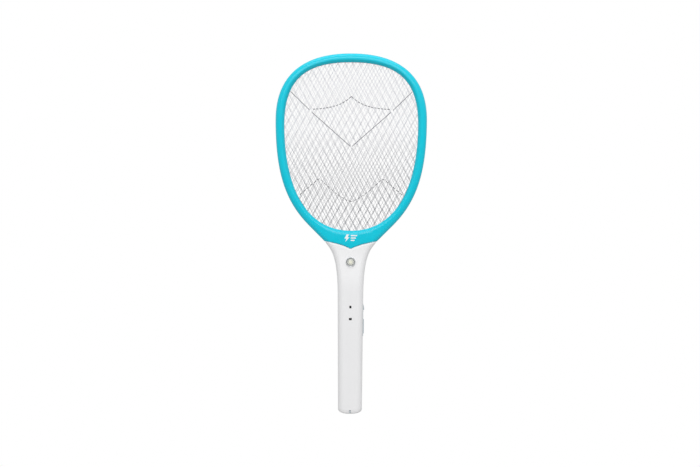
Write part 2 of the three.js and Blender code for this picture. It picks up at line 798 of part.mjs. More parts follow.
addPiece("battery", battery(), batteryGrey);
for (const [side, word, sleeve] of [[-1, "negative", blackSleeve], [1, "positive", redSleeve]]) {
  const lead = wire([
    [side * 7, -3.4, BATTERY_TOP - 0.4],
    [side * 7, -3.4, BATTERY_TOP + 4],
    [side * 8, -1.8, 99.5],
    [side * 8, -0.3, 102.9],
  ], 0.7, 8);
  addPiece(`battery_lead_${word}`, lead, sleeve);
}

// ---- Board and its parts ----

const BOARD_BOTTOM = 101.5;
const BOARD_TOP = 204;

function mainBoard() {
  const wide = 15;
  const narrow = 8.6;
  const outline = [
    [-wide, BOARD_BOTTOM],
    [wide, BOARD_BOTTOM],
    [wide, 112],
    [narrow, 112],
    [narrow, 166],
    [wide, 166],
    [wide, BOARD_TOP],
    [-wide, BOARD_TOP],
  ].map(([x, z]) => new THREE.Vector2(x, z));
  return slab(outline, BOARD_FRONT, BOARD_BACK);
}

const SEAT = BOARD_FRONT - GAP;

// A box-shaped part on the board's front, standing up to a height above it.
function onBoard([x0, x1], height, [z0, z1]) {
  return block([x0, x1], [SEAT - height, SEAT], [z0, z1]);
}

function transformerCore() {
  const core = block([-9, 9], [-10.4, -0.8], [184, 200]);
  const leftWindow = block([-6, -2.2], [-20, 20], [187, 197]);
  const rightWindow = block([2.2, 6], [-20, 20], [187, 197]);
  return core.subtract(leftWindow).subtract(rightWindow);
}

// The winding is a square tube around the core's middle leg.
function transformerWinding() {
  const coil = block([-5.7, 5.7], [-11.8, 0.6], [187.3, 196.7]);
  return coil.subtract(block([-2.5, 2.5], [-10.7, -0.5], [180, 200]));
}

function transistor() {
  const body = onBoard([-12, -4], 4.5, [170, 177]);
  const tab = block([-11, -5], [SEAT - 1.6, SEAT], [176, 180]);
  return body.add(tab).subtract(rod(1.3, [-8, -20, 178], [-8, 20, 178], 10));
}

function resistor() {
  return rod(1.3, [-12, SEAT - 1.6, 150], [-3, SEAT - 1.6, 150], 10);
}

function diode(z) {
  return rod(1.4, [-12, SEAT - 1.7, z], [-6, SEAT - 1.7, z], 10);
}

addPiece("main_board", mainBoard(), boardGreen);
addPiece("hv_transformer_core", transformerCore(), ferrite);
addPiece("hv_transformer_winding", transformerWinding(), copper);
addPiece("hv_capacitor", onBoard([1.5, 13.5], 9, [168.5, 181.5]), filmRed);
addPiece("drive_transistor", transistor(), blackPlastic);
addPiece("discharge_resistor", resistor(), spacerPlastic);
addPiece("hv_diode_1", diode(144), blackPlastic);
addPiece("hv_diode_2", diode(138.5), blackPlastic);
addPiece("charger_capacitor", onBoard([-13, 1], 8, [103.5, 111]), filmRed);

// ---- Side controls ----

function switchPlate() {
  const heights = [PLATE_BOTTOM, PLATE_TOP];
  const face = block([17.2, PLATE_FACE], [-6, 6], heights);
  const posts = block([15.3, 17.5], [-5.9, 5.9], heights);
  const flange = block([14.4, 15.6], [-7, 7], [PLATE_BOTTOM - 1.6, PLATE_TOP + 1.6]);
  const through = [10, 25];
  const knobBottom = KNOB_HEIGHT - KNOB_HALF - KNOB_TRAVEL;
  const knobSlot = block(through, [-2.8, 2.8], [knobBottom - GAP, KNOB_HEIGHT + KNOB_HALF + GAP]);
  const buttonHalf = BUTTON_HALF + GAP;
  const buttonSlot = block(through, [-4.5, 4.5], [BUTTON_HEIGHT - buttonHalf, BUTTON_HEIGHT + buttonHalf]);
  return face.add(flange).add(posts).subtract(knobSlot).subtract(buttonSlot);
}

// A cap of a side control, lofted upwards. Its stations are [rise, reach], where reach is how far
// the cap stands out along X; its root is always the same, behind the plate.
function sideCap(height, halfWidth, corner, levels) {
  const root = 13.6;
  return loft(levels.map(([rise, reach]) => {
    const middle = (reach + root) / 2;
    return roundedRing(height + rise, (reach - root) / 2, halfWidth, corner, corner)
      .map((point) => point.add(new THREE.Vector3(middle, 0, 0)));
  }));
}

// The slide knob: a wedge with a steep lower face, and a skirt that holds it behind the plate.
function modeKnob() {
  const wedge = sideCap(KNOB_HEIGHT, 2.5, 0.6, [
    [-KNOB_HALF, 19.4],
    [-KNOB_HALF + 0.6, 20.8],
    [KNOB_HALF, 19.6],
  ]);
  return wedge.add(block(SKIRT, [-3.6, 3.6], [151.2, 163.6]));
}

function zapButton() {
  const cap = sideCap(BUTTON_HEIGHT, 4.2, 0.8, [
    [-BUTTON_HALF, 19.3],
    [-BUTTON_HALF + 1, 20.1],
    [BUTTON_HALF - 1, 20.1],
    [BUTTON_HALF, 19.3],
  ]);
  const skirtHalf = BUTTON_HALF + 1.6;
  return cap.add(block(SKIRT, [-5.6, 5.6], [BUTTON_HEIGHT - skirtHalf, BUTTON_HEIGHT + skirtHalf]));
}

function modeSwitchBody() {
  const slotHalf = 1.4;
  return onBoard([2.6, 8.2], 5.6, [148, 164])
    .subtract(block([5, 9], [SWITCH_DEPTH - slotHalf, SWITCH_DEPTH + slotHalf], [149.5, 160.5]));
}

function modeSwitchStem() {
  const half = 1;
  return block([5.6, 12.1], [SWITCH_DEPTH - half, SWITCH_DEPTH + half], [KNOB_HEIGHT - 1.6, KNOB_HEIGHT + 2]);
}

function zapSwitchBody() {
  return onBoard([3, 8.2], 6, [BUTTON_HEIGHT - 3, BUTTON_HEIGHT + 3])
    .subtract(rod(1.9, [5.1, SWITCH_DEPTH, BUTTON_HEIGHT], [9, SWITCH_DEPTH, BUTTON_HEIGHT]));
}

function zapSwitchPlunger() {
  return rod(1.5, [6.9, SWITCH_DEPTH, BUTTON_HEIGHT], [12.1, SWITCH_DEPTH, BUTTON_HEIGHT]);
}

addPiece("switch_plate", switchPlate(), trimPlastic);
addPiece("mode_knob", modeKnob(), trimPlastic);
addPiece("mode_switch_body", modeSwitchBody(), blackPlastic);
addPiece("mode_switch_stem", modeSwitchStem(), blackPlastic);
addPiece("zap_button", zapButton(), trimPlastic);
addPiece("zap_switch_body", zapSwitchBody(), blackPlastic);
addPiece("zap_switch_plunger", zapSwitchPlunger(), blackPlastic);

// ---- Lamp and indicators ----

// The lamp's pieces are turned about an axis that points out of the handle's front face.
const lamp = new THREE.Group();
lamp.position.set(0, -handleHalfDepth(LAMP_HEIGHT - 7), LAMP_HEIGHT);
lamp.rotation.x = Math.PI;
raised.add(lamp);

addPiece("lamp_bezel", turned([
  [5.4, -4],
  [6.1, -4],
  [6.1, GAP],
  [7.1, GAP],
  [7.1, 0.9],
  [6.7, 1.3],
  [5.4, 1.3],
], 18), greyChrome, lamp);
addPiece("lamp_lens", turned([
  [0, -1.2],
  [5.1, -1.2],
  [5.1, 0.4],
  [4.4, 1.1],
  [2.6, 1.8],
  [0, 2.1],
], 14), clearLens, lamp);
addPiece("lamp_reflector", turned([
  [2.9, -5.2],
  [3.4, -5.2],
  [5.1, -2],
  [5.1, -1.5],
  [4.6, -1.5],
  [2.9, -4.6],
], 12), mirror, lamp);
addPiece("lamp_led", turned([
  [0, -7.5],
  [2.8, -7.5],
  [2.8, -6.5],
  [2.45, -6.5],
  [2.45, -3.2],
  [1.6, -2],
  [0, -1.6],
], 10), ledYellow, lamp);

// A window that stands just proud of the handle's face, with a collar behind the wall.
function indicator({ halfWidth, halfHeight, height }) {
  const face = HANDLE_HALF_DEPTH + 0.2;
  const window = block(
    [-halfWidth, halfWidth],
    [-face, -11],
    [height - halfHeight, height + halfHeight],
  );
  const collar = block(
    [-halfWidth - 1, halfWidth + 1],
    [-HANDLE_HALF_DEPTH + HANDLE_WALL + GAP, -10.6],
    [height - halfHeight - 1, height + halfHeight + 1],
  );
  return window.add(collar);
}

INDICATORS.forEach((size) => addPiece(size.name, indicator(size), blackPlastic));

// ---- High-voltage leads up to the nets ----

addPiece("centre_net_lead", wire([
  [-6, -1, 203],
  [-8, -1.4, 214],
  [-10, -1.4, 226],
  [-9, -1.4, 244],
  [-8, -1.3, 258],
], 0.7, 10), redSleeve);
addPiece("outer_net_lead", wire([
  [6, -1, 203],
  [9, -1.4, 214],
  [11, -1.4, 226],
  [9.5, -1.4, 244],
  [8, -0.5, 255.2],
], 0.7, 10), blackSleeve);

export default swatter;
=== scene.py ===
"""Looks for a rechargeable electric fly swatter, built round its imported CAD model.

Lengths are in millimetres and heights are measured up from the foot of the handle, as on a
drawing of the real swatter. at() turns them into the frame's metres. The front faces -Y, and
the side controls face +X. A part is a (points, faces) pair with its points in metres, and a
piece is a Blender object made of one or more parts.
"""

import bisect
import math

import bmesh
import bpy
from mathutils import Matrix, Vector


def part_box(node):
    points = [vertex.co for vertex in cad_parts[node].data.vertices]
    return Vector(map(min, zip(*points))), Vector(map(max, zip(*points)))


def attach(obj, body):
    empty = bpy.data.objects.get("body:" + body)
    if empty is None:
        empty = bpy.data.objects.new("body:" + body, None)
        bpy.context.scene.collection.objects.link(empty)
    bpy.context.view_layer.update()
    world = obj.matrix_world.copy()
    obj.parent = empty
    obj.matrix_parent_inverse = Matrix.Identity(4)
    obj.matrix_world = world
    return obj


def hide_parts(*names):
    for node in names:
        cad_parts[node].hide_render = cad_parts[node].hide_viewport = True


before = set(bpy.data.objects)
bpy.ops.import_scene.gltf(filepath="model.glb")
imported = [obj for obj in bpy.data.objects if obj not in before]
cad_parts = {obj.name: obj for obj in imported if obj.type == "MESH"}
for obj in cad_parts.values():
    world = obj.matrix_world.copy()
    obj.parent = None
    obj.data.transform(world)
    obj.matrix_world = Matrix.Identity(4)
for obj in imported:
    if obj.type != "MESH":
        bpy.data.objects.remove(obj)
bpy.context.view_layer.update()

MM = 0.001
FRONT = -1
REAR = 1

# ---- Driving dimensions, in millimetres, taken from the frame where it has them ----


def node_box(node):
    """The lowest and highest corners of a CAD node, in millimetres above the foot."""
    return [corner / MM + Vector((0, 0, GRIP_HEIGHT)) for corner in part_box(node)]


def node_middle(node):
    low, high = node_box(node)
    return (low + high) / 2


GRIP_HEIGHT = -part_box("handle_front_shell")[0].z / MM
head_low, head_high = node_box("head_front_shell")
TOTAL_LENGTH = head_high.z
HEAD_HALF_WIDTH = head_high.x
HEAD_HALF_DEPTH = -head_low.y
YOKE_TIP = head_low.z
SEAM = -head_high.y
HANDLE_HALF_DEPTH = -node_box("handle_front_shell")[0].y
GAP = 0.3

WIDEST_HEIGHT = 436
HEAD_CENTRE = 400
RIM_WIDTH = 13
OPENING_HALF_WIDTH = HEAD_HALF_WIDTH - RIM_WIDTH
OPENING_TOP = TOTAL_LENGTH - RIM_WIDTH
OPENING_BOTTOM = 271.5
YOKE_CORNER = (38.8, 255.6)
YOKE_SHOULDER = (61.3, 278.1)
PLATE_INSIDE = 8
RIM_WALL = 2

FOOT_HALF_WIDTH = 17.7
NECK_HALF_WIDTH = 18.9
NECK_HEIGHT = 170
NECK_HALF_DEPTH = 10.4
HANDLE_WALL = 2
CORNER_X = 9
CORNER_Y = 11
FOOT_RADIUS = 41
FOOT_FLAT = 5
FOOT_ROUND = 3.2
LIP_DEPTH = 1.5
LIP_HEIGHT = 2.6
TONGUE_HALF_WIDTH = 29
TONGUE_HALF_DEPTH = 7.7
TONGUE_WALL = 2.5
TONGUE_TOP = 263


def at(x, y, height):
    """A point of the drawing in the frame's metres."""
    return Vector((x, y, height - GRIP_HEIGHT)) * MM


# ---- Small mathematics ----


def mix(start, end, share):
    return start + (end - start) * share


def smooth(value, low, high):
    """0 below low, 1 above high, and a smooth step between them."""
    share = min(1, max(0, (value - low) / (high - low)))
    return share * share * (3 - 2 * share)


def bezier(points, steps):
    """steps + 1 points along a cubic curve with four control points."""
    p0, p1, p2, p3 = (Vector(point) for point in points)
    curve = []
    for step in range(steps + 1):
        t = step / steps
        s = 1 - t
        curve.append(s**3 * p0 + 3 * s * s * t * p1 + 3 * s * t * t * p2 + t**3 * p3)
    return curve


def arc(centre, radii, start, end, steps):
    """Points round part of an ellipse, between two angles in degrees."""
    points = []
    for step in range(steps + 1):
        angle = math.radians(mix(start, end, step / steps))
        x = centre[0] + radii[0] * math.cos(angle)
        y = centre[1] + radii[1] * math.sin(angle)
        points.append((x, y))
    return points


def circle(x, y, radius, sides=40):
    return arc((x, y), (radius, radius), 0, 360, sides)[:-1]


def straight(start, end, steps):
    return [Vector(start).lerp(Vector(end), step / steps) for step in range(steps + 1)]


def rectangle(x_range, y_range, margin=0):
    """The corners of a rectangle, grown by a margin on every side."""
    x0, x1 = x_range[0] - margin, x_range[1] + margin
    y0, y1 = y_range[0] - margin, y_range[1] + margin
    return [(x0, y0), (x1, y0), (x1, y1), (x0, y1)]


def rounded(outline, radius, steps=4):
    """A closed outline with its corners rounded, by curves that start a radius before them."""
    result = []
    for index, point in enumerate(outline):
        corner = Vector(point)
        ends = []
        for neighbour in (outline[index - 1], outline[(index + 1) % len(outline)]):
            away = Vector(neighbour) - corner
            ends.append(corner + away.normalized() * min(radius, away.length * 0.48))
        for step in range(steps + 1):
            t = step / steps
            place = ends[0] * (1 - t) ** 2 + corner * 2 * t * (1 - t) + ends[1] * t * t
            result.append(tuple(place))
    return result


def along_curve(points, place, value):
    """The point of a finely stepped curve where place, which rises along it, equals value."""
    above = min(max(1, bisect.bisect_left(points, value, key=place)), len(points) - 1)
    low, high = points[above - 1], points[above]
    share = (value - place(low)) / (place(high) - place(low))
    return low.lerp(high, min(1, max(0, share)))


# ---- Meshes ----


def skin(rings, along=False, caps=True):
    """A part over closed rings of points. along joins the last ring to the first, and caps
    fills them both."""
    size = len(rings[0])
    points = [point for ring in rings for point in ring]
    faces = []
    for ring in range(len(rings) if along else len(rings) - 1):
        here = ring * size
        there = (ring + 1) % len(rings) * size
        for side in range(size):
            following = (side + 1) % size
            faces.append((here + side, here + following, there + following, there + side))
    if caps and not along:
        faces.append(tuple(range(size))[::-1])
        faces.append(tuple(range(len(points) - size, len(points))))
    return points, faces


def bar(outline, span, axis="y"):
    """A part with a thickness along one axis. Its outline is drawn in the other two, in the
    order x, y, height."""
    place = "xyz".index(axis)
    return skin([[at(*corner[:place], along, *corner[place:]) for corner in outline] for along in span])


def block(x_range, y_range, z_range):
    return bar(rectangle(x_range, z_range), y_range)


def turned(profile, x, height, sides, side=REAR, base=0):
    """A part turned about an axis along Y. Its profile is (radius, distance) points, with the
    distances from base towards its side."""
    closed = profile[0][0] > 0
    rings = []
    for radius, distance in profile:
        y = side * (base + distance)
        rings.append([at(u, y, v) for u, v in circle(x, height, radius, sides)])
    return skin(rings, along=closed, caps=False)


def tube(path, radius, sides=6):
    """A round wire along points of (x, y, height)."""
    path = [Vector(point) for point in path]
    section = circle(0, 0, radius, sides)
    rings = []
    for index, point in enumerate(path):
        along = path[min(index + 1, len(path) - 1)] - path[max(index - 1, 0)]
        along.normalize()
        side = along.cross(Vector((0, 1, 0))).normalized()
        up = side.cross(along)
        rings.append([at(*(point + side * u + up * v)) for u, v in section])
    return skin(rings)


def add_object(name, data):
    thing = bpy.data.objects.new(name, data)
    bpy.context.scene.collection.objects.link(thing)
    return thing


def make_mesh(name, parts):
    """One mesh from several parts, with shared points joined and its faces pointing out."""
    points, faces = [], []
    for part_points, part_faces in parts:
        base = len(points)
        points += part_points
        faces += [tuple(base + index for index in face) for face in part_faces]
    mesh = bpy.data.meshes.new(name)
    mesh.from_pydata(points, [], faces)
    solid = bmesh.new()
    solid.from_mesh(mesh)
    bmesh.ops.remove_doubles(solid, verts=solid.verts, dist=1e-7)
    bmesh.ops.dissolve_degenerate(solid, edges=solid.edges, dist=1e-8)
    bare = [edge for edge in solid.edges if not edge.link_faces]
    bmesh.ops.delete(solid, geom=bare, context="EDGES")
    bmesh.ops.recalc_face_normals(solid, faces=solid.faces)
    solid.to_mesh(mesh)
    solid.free()
    return add_object(name, mesh)


def add_piece(name, parts, slot, *nodes, body="racket", material=None):
    """A piece that rides on a body and stands for CAD nodes, in its slot's material or another."""
    piece = make_mesh(name, parts)
    piece.data.materials.append(material or materials[slot])
    shade(piece)
    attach(piece, body)
    if nodes:
        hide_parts(*nodes)
    return piece


def shade(piece):
    """Smooth shading, with sharp edges where faces turn by more than 35 degrees."""
    piece.data.shade_smooth()
    piece.data.set_sharp_from_angle(angle=math.radians(35))


def combine(piece, parts, operation):
    tool = make_mesh("tool", parts)
    modifier = piece.modifiers.new(operation, "BOOLEAN")
    modifier.operation = operation
    modifier.solver = "EXACT"
    modifier.object = tool
    with bpy.context.temp_override(object=piece, active_object=piece):
        bpy.ops.object.modifier_apply(modifier=modifier.name)
    bpy.data.objects.remove(tool)
    shade(piece)


def cut(piece, *parts):
    """Cuts parts that don't touch each other out of a piece."""
    combine(piece, parts, "DIFFERENCE")


def join(piece, *parts):
    """Joins parts that don't touch each other to a piece."""
    combine(piece, parts, "UNION")


def soften(piece, width, segments=2):
    """Rounds a piece's sharp edges, as a mould does."""
    modifier = piece.modifiers.new("moulded edges", "BEVEL")
    modifier.width = width * MM
    modifier.segments = segments
    modifier.limit_method = "ANGLE"
    modifier.angle_limit = math.radians(40)
    modifier.harden_normals = True


# ---- Materials ----


def linear(colour):
    """A colour of 0 to 255 steps as linear light, with full opacity."""
    parts = [step / 255 for step in colour]
    return (*[part / 12.92 if part <= 0.04045 else ((part + 0.055) / 1.055) ** 2.4 for part in parts], 1)


def set_sockets(node, **sockets):
    """Sets a node's inputs by name, with _ for a space."""
    for socket, value in sockets.items():
        node.inputs[socket.replace("_", " ")].default_value = value
    return node


def shader(name, colour, roughness, **sockets):
    """A material with one Principled shader, with more sockets set by name."""
    material = bpy.data.materials.new(name)
    material.use_nodes = True
    principled = material.node_tree.nodes["Principled BSDF"]
    set_sockets(principled, Base_Color=linear(colour), Roughness=roughness, **sockets)
    return material


def placed_node(material, kind):
    """A new node that reads the piece's own coordinates, in metres."""
    tree = material.node_tree
    node = tree.nodes.new(kind)
    place = tree.nodes.new("ShaderNodeTexCoord").outputs["Object"]
    tree.links.new(place, node.inputs["Vector"])
    return node


def noise_node(material, scale, detail):
    noise = placed_node(material, "ShaderNodeTexNoise")
    return set_sockets(noise, Scale=scale, Detail=detail).outputs["Fac"]


def link_in(material, output, socket):
    principled = material.node_tree.nodes["Principled BSDF"]
    material.node_tree.links.new(output, principled.inputs[socket])


def spread_between(tree, value, values, results):
    """Maps a node's value from one range to another, in a material's or the world's tree."""
    spread = tree.nodes.new("ShaderNodeMapRange")
    set_sockets(spread, From_Min=values[0], From_Max=values[1])
    set_sockets(spread, To_Min=results[0], To_Max=results[1])
    tree.links.new(value, spread.inputs["Value"])
    return spread.outputs["Result"]


def blend_colour(material, share, first, second):
    """Sets the base colour between two colours, by a node's value from 0 to 1."""
    tree = material.node_tree
    blend = tree.nodes.new("ShaderNodeMix")
    blend.data_type = "RGBA"
    factor, start, end = blend.inputs[0], blend.inputs[6], blend.inputs[7]
    start.default_value = linear(first)
    end.default_value = linear(second)
    tree.links.new(share, factor)
    link_in(material, blend.outputs[2], "Base Color")


def mottled(name, colour, roughness, spread, scale, **sockets):
    """A material that varies a few steps either side of its colour."""
    material = shader(name, colour, roughness, **sockets)
    darker = [max(0, step - spread) for step in colour]
    lighter = [min(255, step + spread) for step in colour]
    blend_colour(material, noise_node(material, scale, 4), darker, lighter)
    return material


def vary_roughness(material, low, high, scale):
    noise = noise_node(material, scale, 3)
    spread = spread_between(material.node_tree, noise, (0.3, 0.7), (low, high))
    link_in(material, spread, "Roughness")


def add_bump(material, height, depth, strength):
    """Raises the surface by a node's value; depth is in millimetres."""
    tree = material.node_tree
    bump = set_sockets(tree.nodes.new("ShaderNodeBump"), Strength=strength, Distance=depth * MM)
    tree.links.new(height, bump.inputs["Height"])
    link_in(material, bump.outputs["Normal"], "Normal")


def grained(material, scale, depth, strength=0.3, detail=2.0):
    """The material with a grain raised on its surface."""
    add_bump(material, noise_node(material, scale, detail), depth, strength)
    return material


def wave_node(material, direction, per_metre):
    """Bands across a direction, with a number of waves a metre."""
    wave = placed_node(material, "ShaderNodeTexWave")
    wave.bands_direction = direction
    return set_sockets(wave, Scale=per_metre * math.tau / 20).outputs["Fac"]


def moulded(name, colour, roughness, spread=3, **sockets):
    """Moulded plastic: faint colour variation, uneven gloss and a fine grain."""
    material = mottled(name, colour, roughness, spread, 60, **sockets)
    vary_roughness(material, roughness - 0.05, roughness + 0.07, 140)
    return grained(material, 2500, 0.02)


def metal(name, colour, roughness, scratch=900):
    """Bare metal with uneven polish and fine scratches."""
    material = mottled(name, colour, roughness, 6, scratch / 3, Metallic=1.0)
    vary_roughness(material, roughness - 0.08, roughness + 0.12, scratch)
    return grained(material, scratch * 3, 0.01, 0.2)


def make_height_shaded_steel(name, dark, light):
    """Galvanised wire, with painted shade low in the net and painted light towards the crown."""
    material = shader(name, dark, 0.42, Metallic=0.9)
    height = placed_node(material, "ShaderNodeSeparateXYZ").outputs["Z"]
    # Painted light: the colour runs from the dark one low in the net to the light one near the crown.
    painted_light_span = (at(0, 0, 335).z, at(0, 0, 425).z)
    share = spread_between(material.node_tree, height, painted_light_span, (0, 1))
    blend_colour(material, share, dark, light)
    vary_roughness(material, 0.36, 0.5, 700)
    return grained(material, 4000, 0.01, 0.2)


def make_film(name, colour):
    """The dipped coat of a film capacitor: glossy, with a slow uneven swell."""
    return grained(mottled(name, colour, 0.25, 8, 300, Coat_Weight=0.4), 220, 0.3, 0.5)


def make_board(name):
    """Green board under a solder mask, with tracks that stand out a little."""
    material = shader(name, (24, 92, 50), 0.35)
    tracks = wave_node(material, "X", 260)
    step = spread_between(material.node_tree, tracks, (0.72, 0.76), (0, 1))
    blend_colour(material, step, (24, 92, 50), (60, 132, 74))
    add_bump(material, step, 0.05, 0.6)
    return material


def make_copper_wire(name):
    """Turns of enamelled wire, seen as fine grooves."""
    material = shader(name, (186, 104, 58), 0.3, Metallic=1.0)
    turns = wave_node(material, "Z", 3200)
    blend_colour(material, turns, (146, 74, 38), (206, 122, 72))
    add_bump(material, turns, 0.15, 0.8)
    return material


def make_ferrite(name):
    return grained(mottled(name, (48, 46, 48), 0.65, 10, 2600), 3500, 0.06, 0.6, 4)


def make_battery_wrap(name):
    """Heat-shrunk film, drawn tight with faint ripples."""
    return grained(mottled(name, (86, 92, 100), 0.3, 5, 120, Coat_Weight=0.5), 160, 0.4, 0.4, 1)


def make_lens(name):
    return grained(shader(name, (247, 249, 246), 0.05, Alpha=0.36), 500, 0.02, 0.1)


def make_led(name):
    """Clear resin over a yellow phosphor, with a faint emission that paints light on it though the lamp
    is off.
    """
    # Painted light: a faint emission brightens the unlit diode.
    painted_glow = {"Emission_Color": linear((255, 250, 208)), "Emission_Strength": 0.3}
    return mottled(name, (253, 251, 214), 0.15, 8, 900, Coat_Weight=0.6, **painted_glow)


materials = {
    "rim_plastic": moulded("sky_blue_gloss", (4, 202, 224), 0.2, spread=2, Specular_IOR_Level=0.35),
    "handle_plastic": moulded("white_plastic", (240, 240, 241), 0.4, spread=1),
    "trim_plastic": moulded("pale_grey_plastic", (196, 205, 209), 0.4),
    "black_plastic": moulded("black_plastic", (16, 17, 20), 0.28, spread=2),
    "spacer_plastic": moulded("natural_plastic", (228, 228, 222), 0.5),
    # The net's wire colour rises with height: painted shade low down, painted light near the crown.
    "net_steel": make_height_shaded_steel("net_steel", (158, 158, 164), (218, 218, 223)),
    "screw_steel": metal("zinc_screw_steel", (176, 178, 180), 0.3),
    "board": make_board("board_green"),
    "ferrite": make_ferrite("ferrite_black"),
    "copper_wire": make_copper_wire("enamelled_copper"),
    "film_capacitor": make_film("dipped_film", (156, 58, 34)),
    "brass": metal("brass_plate", (206, 172, 98), 0.24),
    "red_sleeve": moulded("red_sleeve", (184, 34, 28), 0.45),
    "black_sleeve": moulded("black_sleeve", (26, 26, 28), 0.45),
    "bezel_chrome": metal("satin_chrome", (206, 208, 211), 0.36, scratch=600),
    "reflector": moulded("reflector_white", (208, 209, 212), 0.3),
    "lens": make_lens("clear_lens"),
    "led": make_led("yellow_led"),
    "battery": make_battery_wrap("battery_wrap"),
}
# Darker wire for the folds: its dark colour is painted shade of the folds, and it also darkens lower
# down as painted shade.
crease_shade_steel = make_height_shaded_steel("crease_shade_steel", (98, 98, 104), (122, 122, 128))
ink_white = moulded("printed_white", (246, 247, 248), 0.35, spread=1)


# ---- Outlines of the head ----

widest = (HEAD_HALF_WIDTH, WIDEST_HEIGHT)
crown_curve = [(0, TOTAL_LENGTH), (73, TOTAL_LENGTH), (HEAD_HALF_WIDTH, WIDEST_HEIGHT + 65.3), widest]
above_shoulder = (YOKE_SHOULDER[0] + 33.2, YOKE_SHOULDER[1] + 33.2)
flank_curve = [widest, (HEAD_HALF_WIDTH, WIDEST_HEIGHT - 84.9), above_shoulder, YOKE_SHOULDER]
seam_curve = [YOKE_CORNER, (18, 253.2), (8, 248.6), (0, YOKE_TIP)]
flare_curve = [(NECK_HALF_WIDTH, NECK_HEIGHT), (NECK_HALF_WIDTH, 236), (28.9, 243), YOKE_CORNER]
opening_side = (OPENING_HALF_WIDTH, 429.3)
opening_crown = [(0, OPENING_TOP), (66.5, OPENING_TOP), (OPENING_HALF_WIDTH, 498.5), opening_side]
opening_flank = [opening_side, (OPENING_HALF_WIDTH, 349.5), (74.2, OPENING_BOTTOM), (0, OPENING_BOTTOM)]


def bearing(point):
    """The direction from the head's centre: 0 is straight up, pi is straight down."""
    return math.atan2(point[0], point[1] - HEAD_CENTRE)


opening_points = bezier(opening_crown, 160) + bezier(opening_flank, 200)[1:]
flare_points = bezier(flare_curve, 200)
seam_points = bezier(seam_curve, 200)[::-1]


def rim_stations():
    """Cuts across the rim, clockwise from the top: inner point, direction, width and mouth,
    which is how far from 0 to 1 the outer wall is opened for the handle's tongue."""
    outer = bezier(crown_curve, 44)[:-1] + bezier(flank_curve, 40)[:-1]
    outer += straight(YOKE_SHOULDER, YOKE_CORNER, 6)[:-1] + bezier(seam_curve, 24)
    right = []
    for point in outer:
        inner = along_curve(opening_points, bearing, bearing(point))
        across = point - inner
        on_seam = point.y < YOKE_CORNER[1] - 1e-6
        mouth = 1 - smooth(point.x, 31, YOKE_CORNER[0]) if on_seam else 0
        right.append((inner, across.normalized(), across.length, mouth))
    flip = Vector((-1, 1))
    left = [(inner * flip, out * flip, width, mouth) for inner, out, width, mouth in right[-2:0:-1]]
    return right + left


stations = rim_stations()


def loop_at(distance):
    """The loop round the opening at a distance from its edge, as (x, height) points."""
    return [tuple(inner + out * distance) for inner, out, _, _ in stations]


def ring_round(section_of):
    """A part round the opening. section_of gives a closed section of (distance, y) points for
    the rim's width and mouth."""
    rings = []
    for inner, out, width, mouth in stations:
        places = [(inner + out * distance, y) for distance, y in section_of(width, mouth)]
        rings.append([at(place.x, y, place.y) for place, y in places])
    return skin(rings, along=True)


# ---- Screws ----


ring_screws = [f"ring_screw_{number}" for number in range(1, 7)]
yoke_screws = ["yoke_screw_1", "yoke_screw_2"]
handle_screws = [f"handle_screw_{number}" for number in range(1, 5)]


def post(node, radius, y_range):
    """A round part along Y on a screw's axis."""
    middle = node_middle(node)
    return bar(circle(middle.x, middle.z, radius), y_range)


def posts(nodes, radius, y_range):
    return [post(node, radius, y_range) for node in nodes]


def thread(radius, start, end, pitch=0.9, depth=0.2):
    """The profile of a screw's shank, with a ridge for each turn of its thread."""
    profile = []
    for turn in range(int((end - start) / pitch)):
        base = start + turn * pitch
        profile += [(radius - depth, base), (radius - depth, base + pitch * 0.45)]
        profile += [(radius, base + pitch * 0.6), (radius, base + pitch * 0.8)]
    return profile


def build_screw(node, shank):
    """A pan-head screw with a cross recess. shank is its shank's radius."""
    low, high = node_box(node)
    x, _, height = (low + high) / 2
    head_radius = (high.z - low.z) / 2
    seat = high.y - 1
    dome = arc((head_radius - 0.7, seat + 0.3), (0.7, 0.7), 0, 65, 5)
    profile = [(0, low.y), (shank * 0.6, low.y + 0.7)]
    profile += thread(shank, low.y + 0.8, seat - 0.4)
    profile += [(shank, seat), (head_radius, seat)] + dome + [(0, high.y)]
    piece = add_piece(f"{node}_cross", [turned(profile, x, height, 28)], "screw_steel", node)
    reach, half = head_radius * 0.62, head_radius * 0.12
    depth = (high.y - 0.65, high.y + 1)
    for wide, tall in ((reach, half), (half, reach)):
        cut(piece, block((x - wide, x + wide), depth, (height - tall, height + tall)))


def build_screws():
    for nodes, shank in ((ring_screws, 1.1), (yoke_screws, 1.3), (handle_screws, 1.2)):
        for node in nodes:
            build_screw(node, shank)


# ---- Head ----


def shell_section(width, mouth):
    """The section of a head shell as (distance from the opening, depth from the middle)."""
    top = HEAD_HALF_DEPTH
    lip = [(0, 4.6), (0.15, 4.5), (4, 4.5), (5, PLATE_INSIDE), (width - 3.2, PLATE_INSIDE)]
    bevel = [(4, top - 0.12), (3.1, top - 0.5), (2.3, top - 1.7), (1.5, top - 3.3)]
    bevel += [(0.4, top - 4.4), (0, top - 5.6)]
    closed = [(width - 0.2, SEAM), (width, SEAM + 0.2), (width, 1.6)]
    closed += arc((width - 7, 3), (7, top - 3), 0, 90, 10)
    opened = [(width - 0.1, PLATE_INSIDE + 0.2), (width, PLATE_INSIDE + 0.3), (width, top - 1.7)]
    opened += arc((width - 2.4, top - 1.6), (2.4, 1.6), 0, 90, 10)
    outside = [(mix(a[0], b[0], mouth), mix(a[1], b[1], mouth)) for a, b in zip(closed, opened)]
    inside = [
        (width - RIM_WALL, mix(5.5, PLATE_INSIDE + 0.05, mouth)),
        (mix(width - RIM_WALL, width - 1, mouth), mix(SEAM, PLATE_INSIDE + 0.1, mouth)),
    ]
    crown = [(mix(outside[-1][0], 3.4, share), top) for share in (0.35, 0.7)]
    return outside + crown + bevel + lip + inside


RING_POST = 2.4
RING_HOLE, RING_HEAD_HOLE = 1.4, 2.7
YOKE_HOLE, YOKE_HEAD_HOLE = 1.7, 3


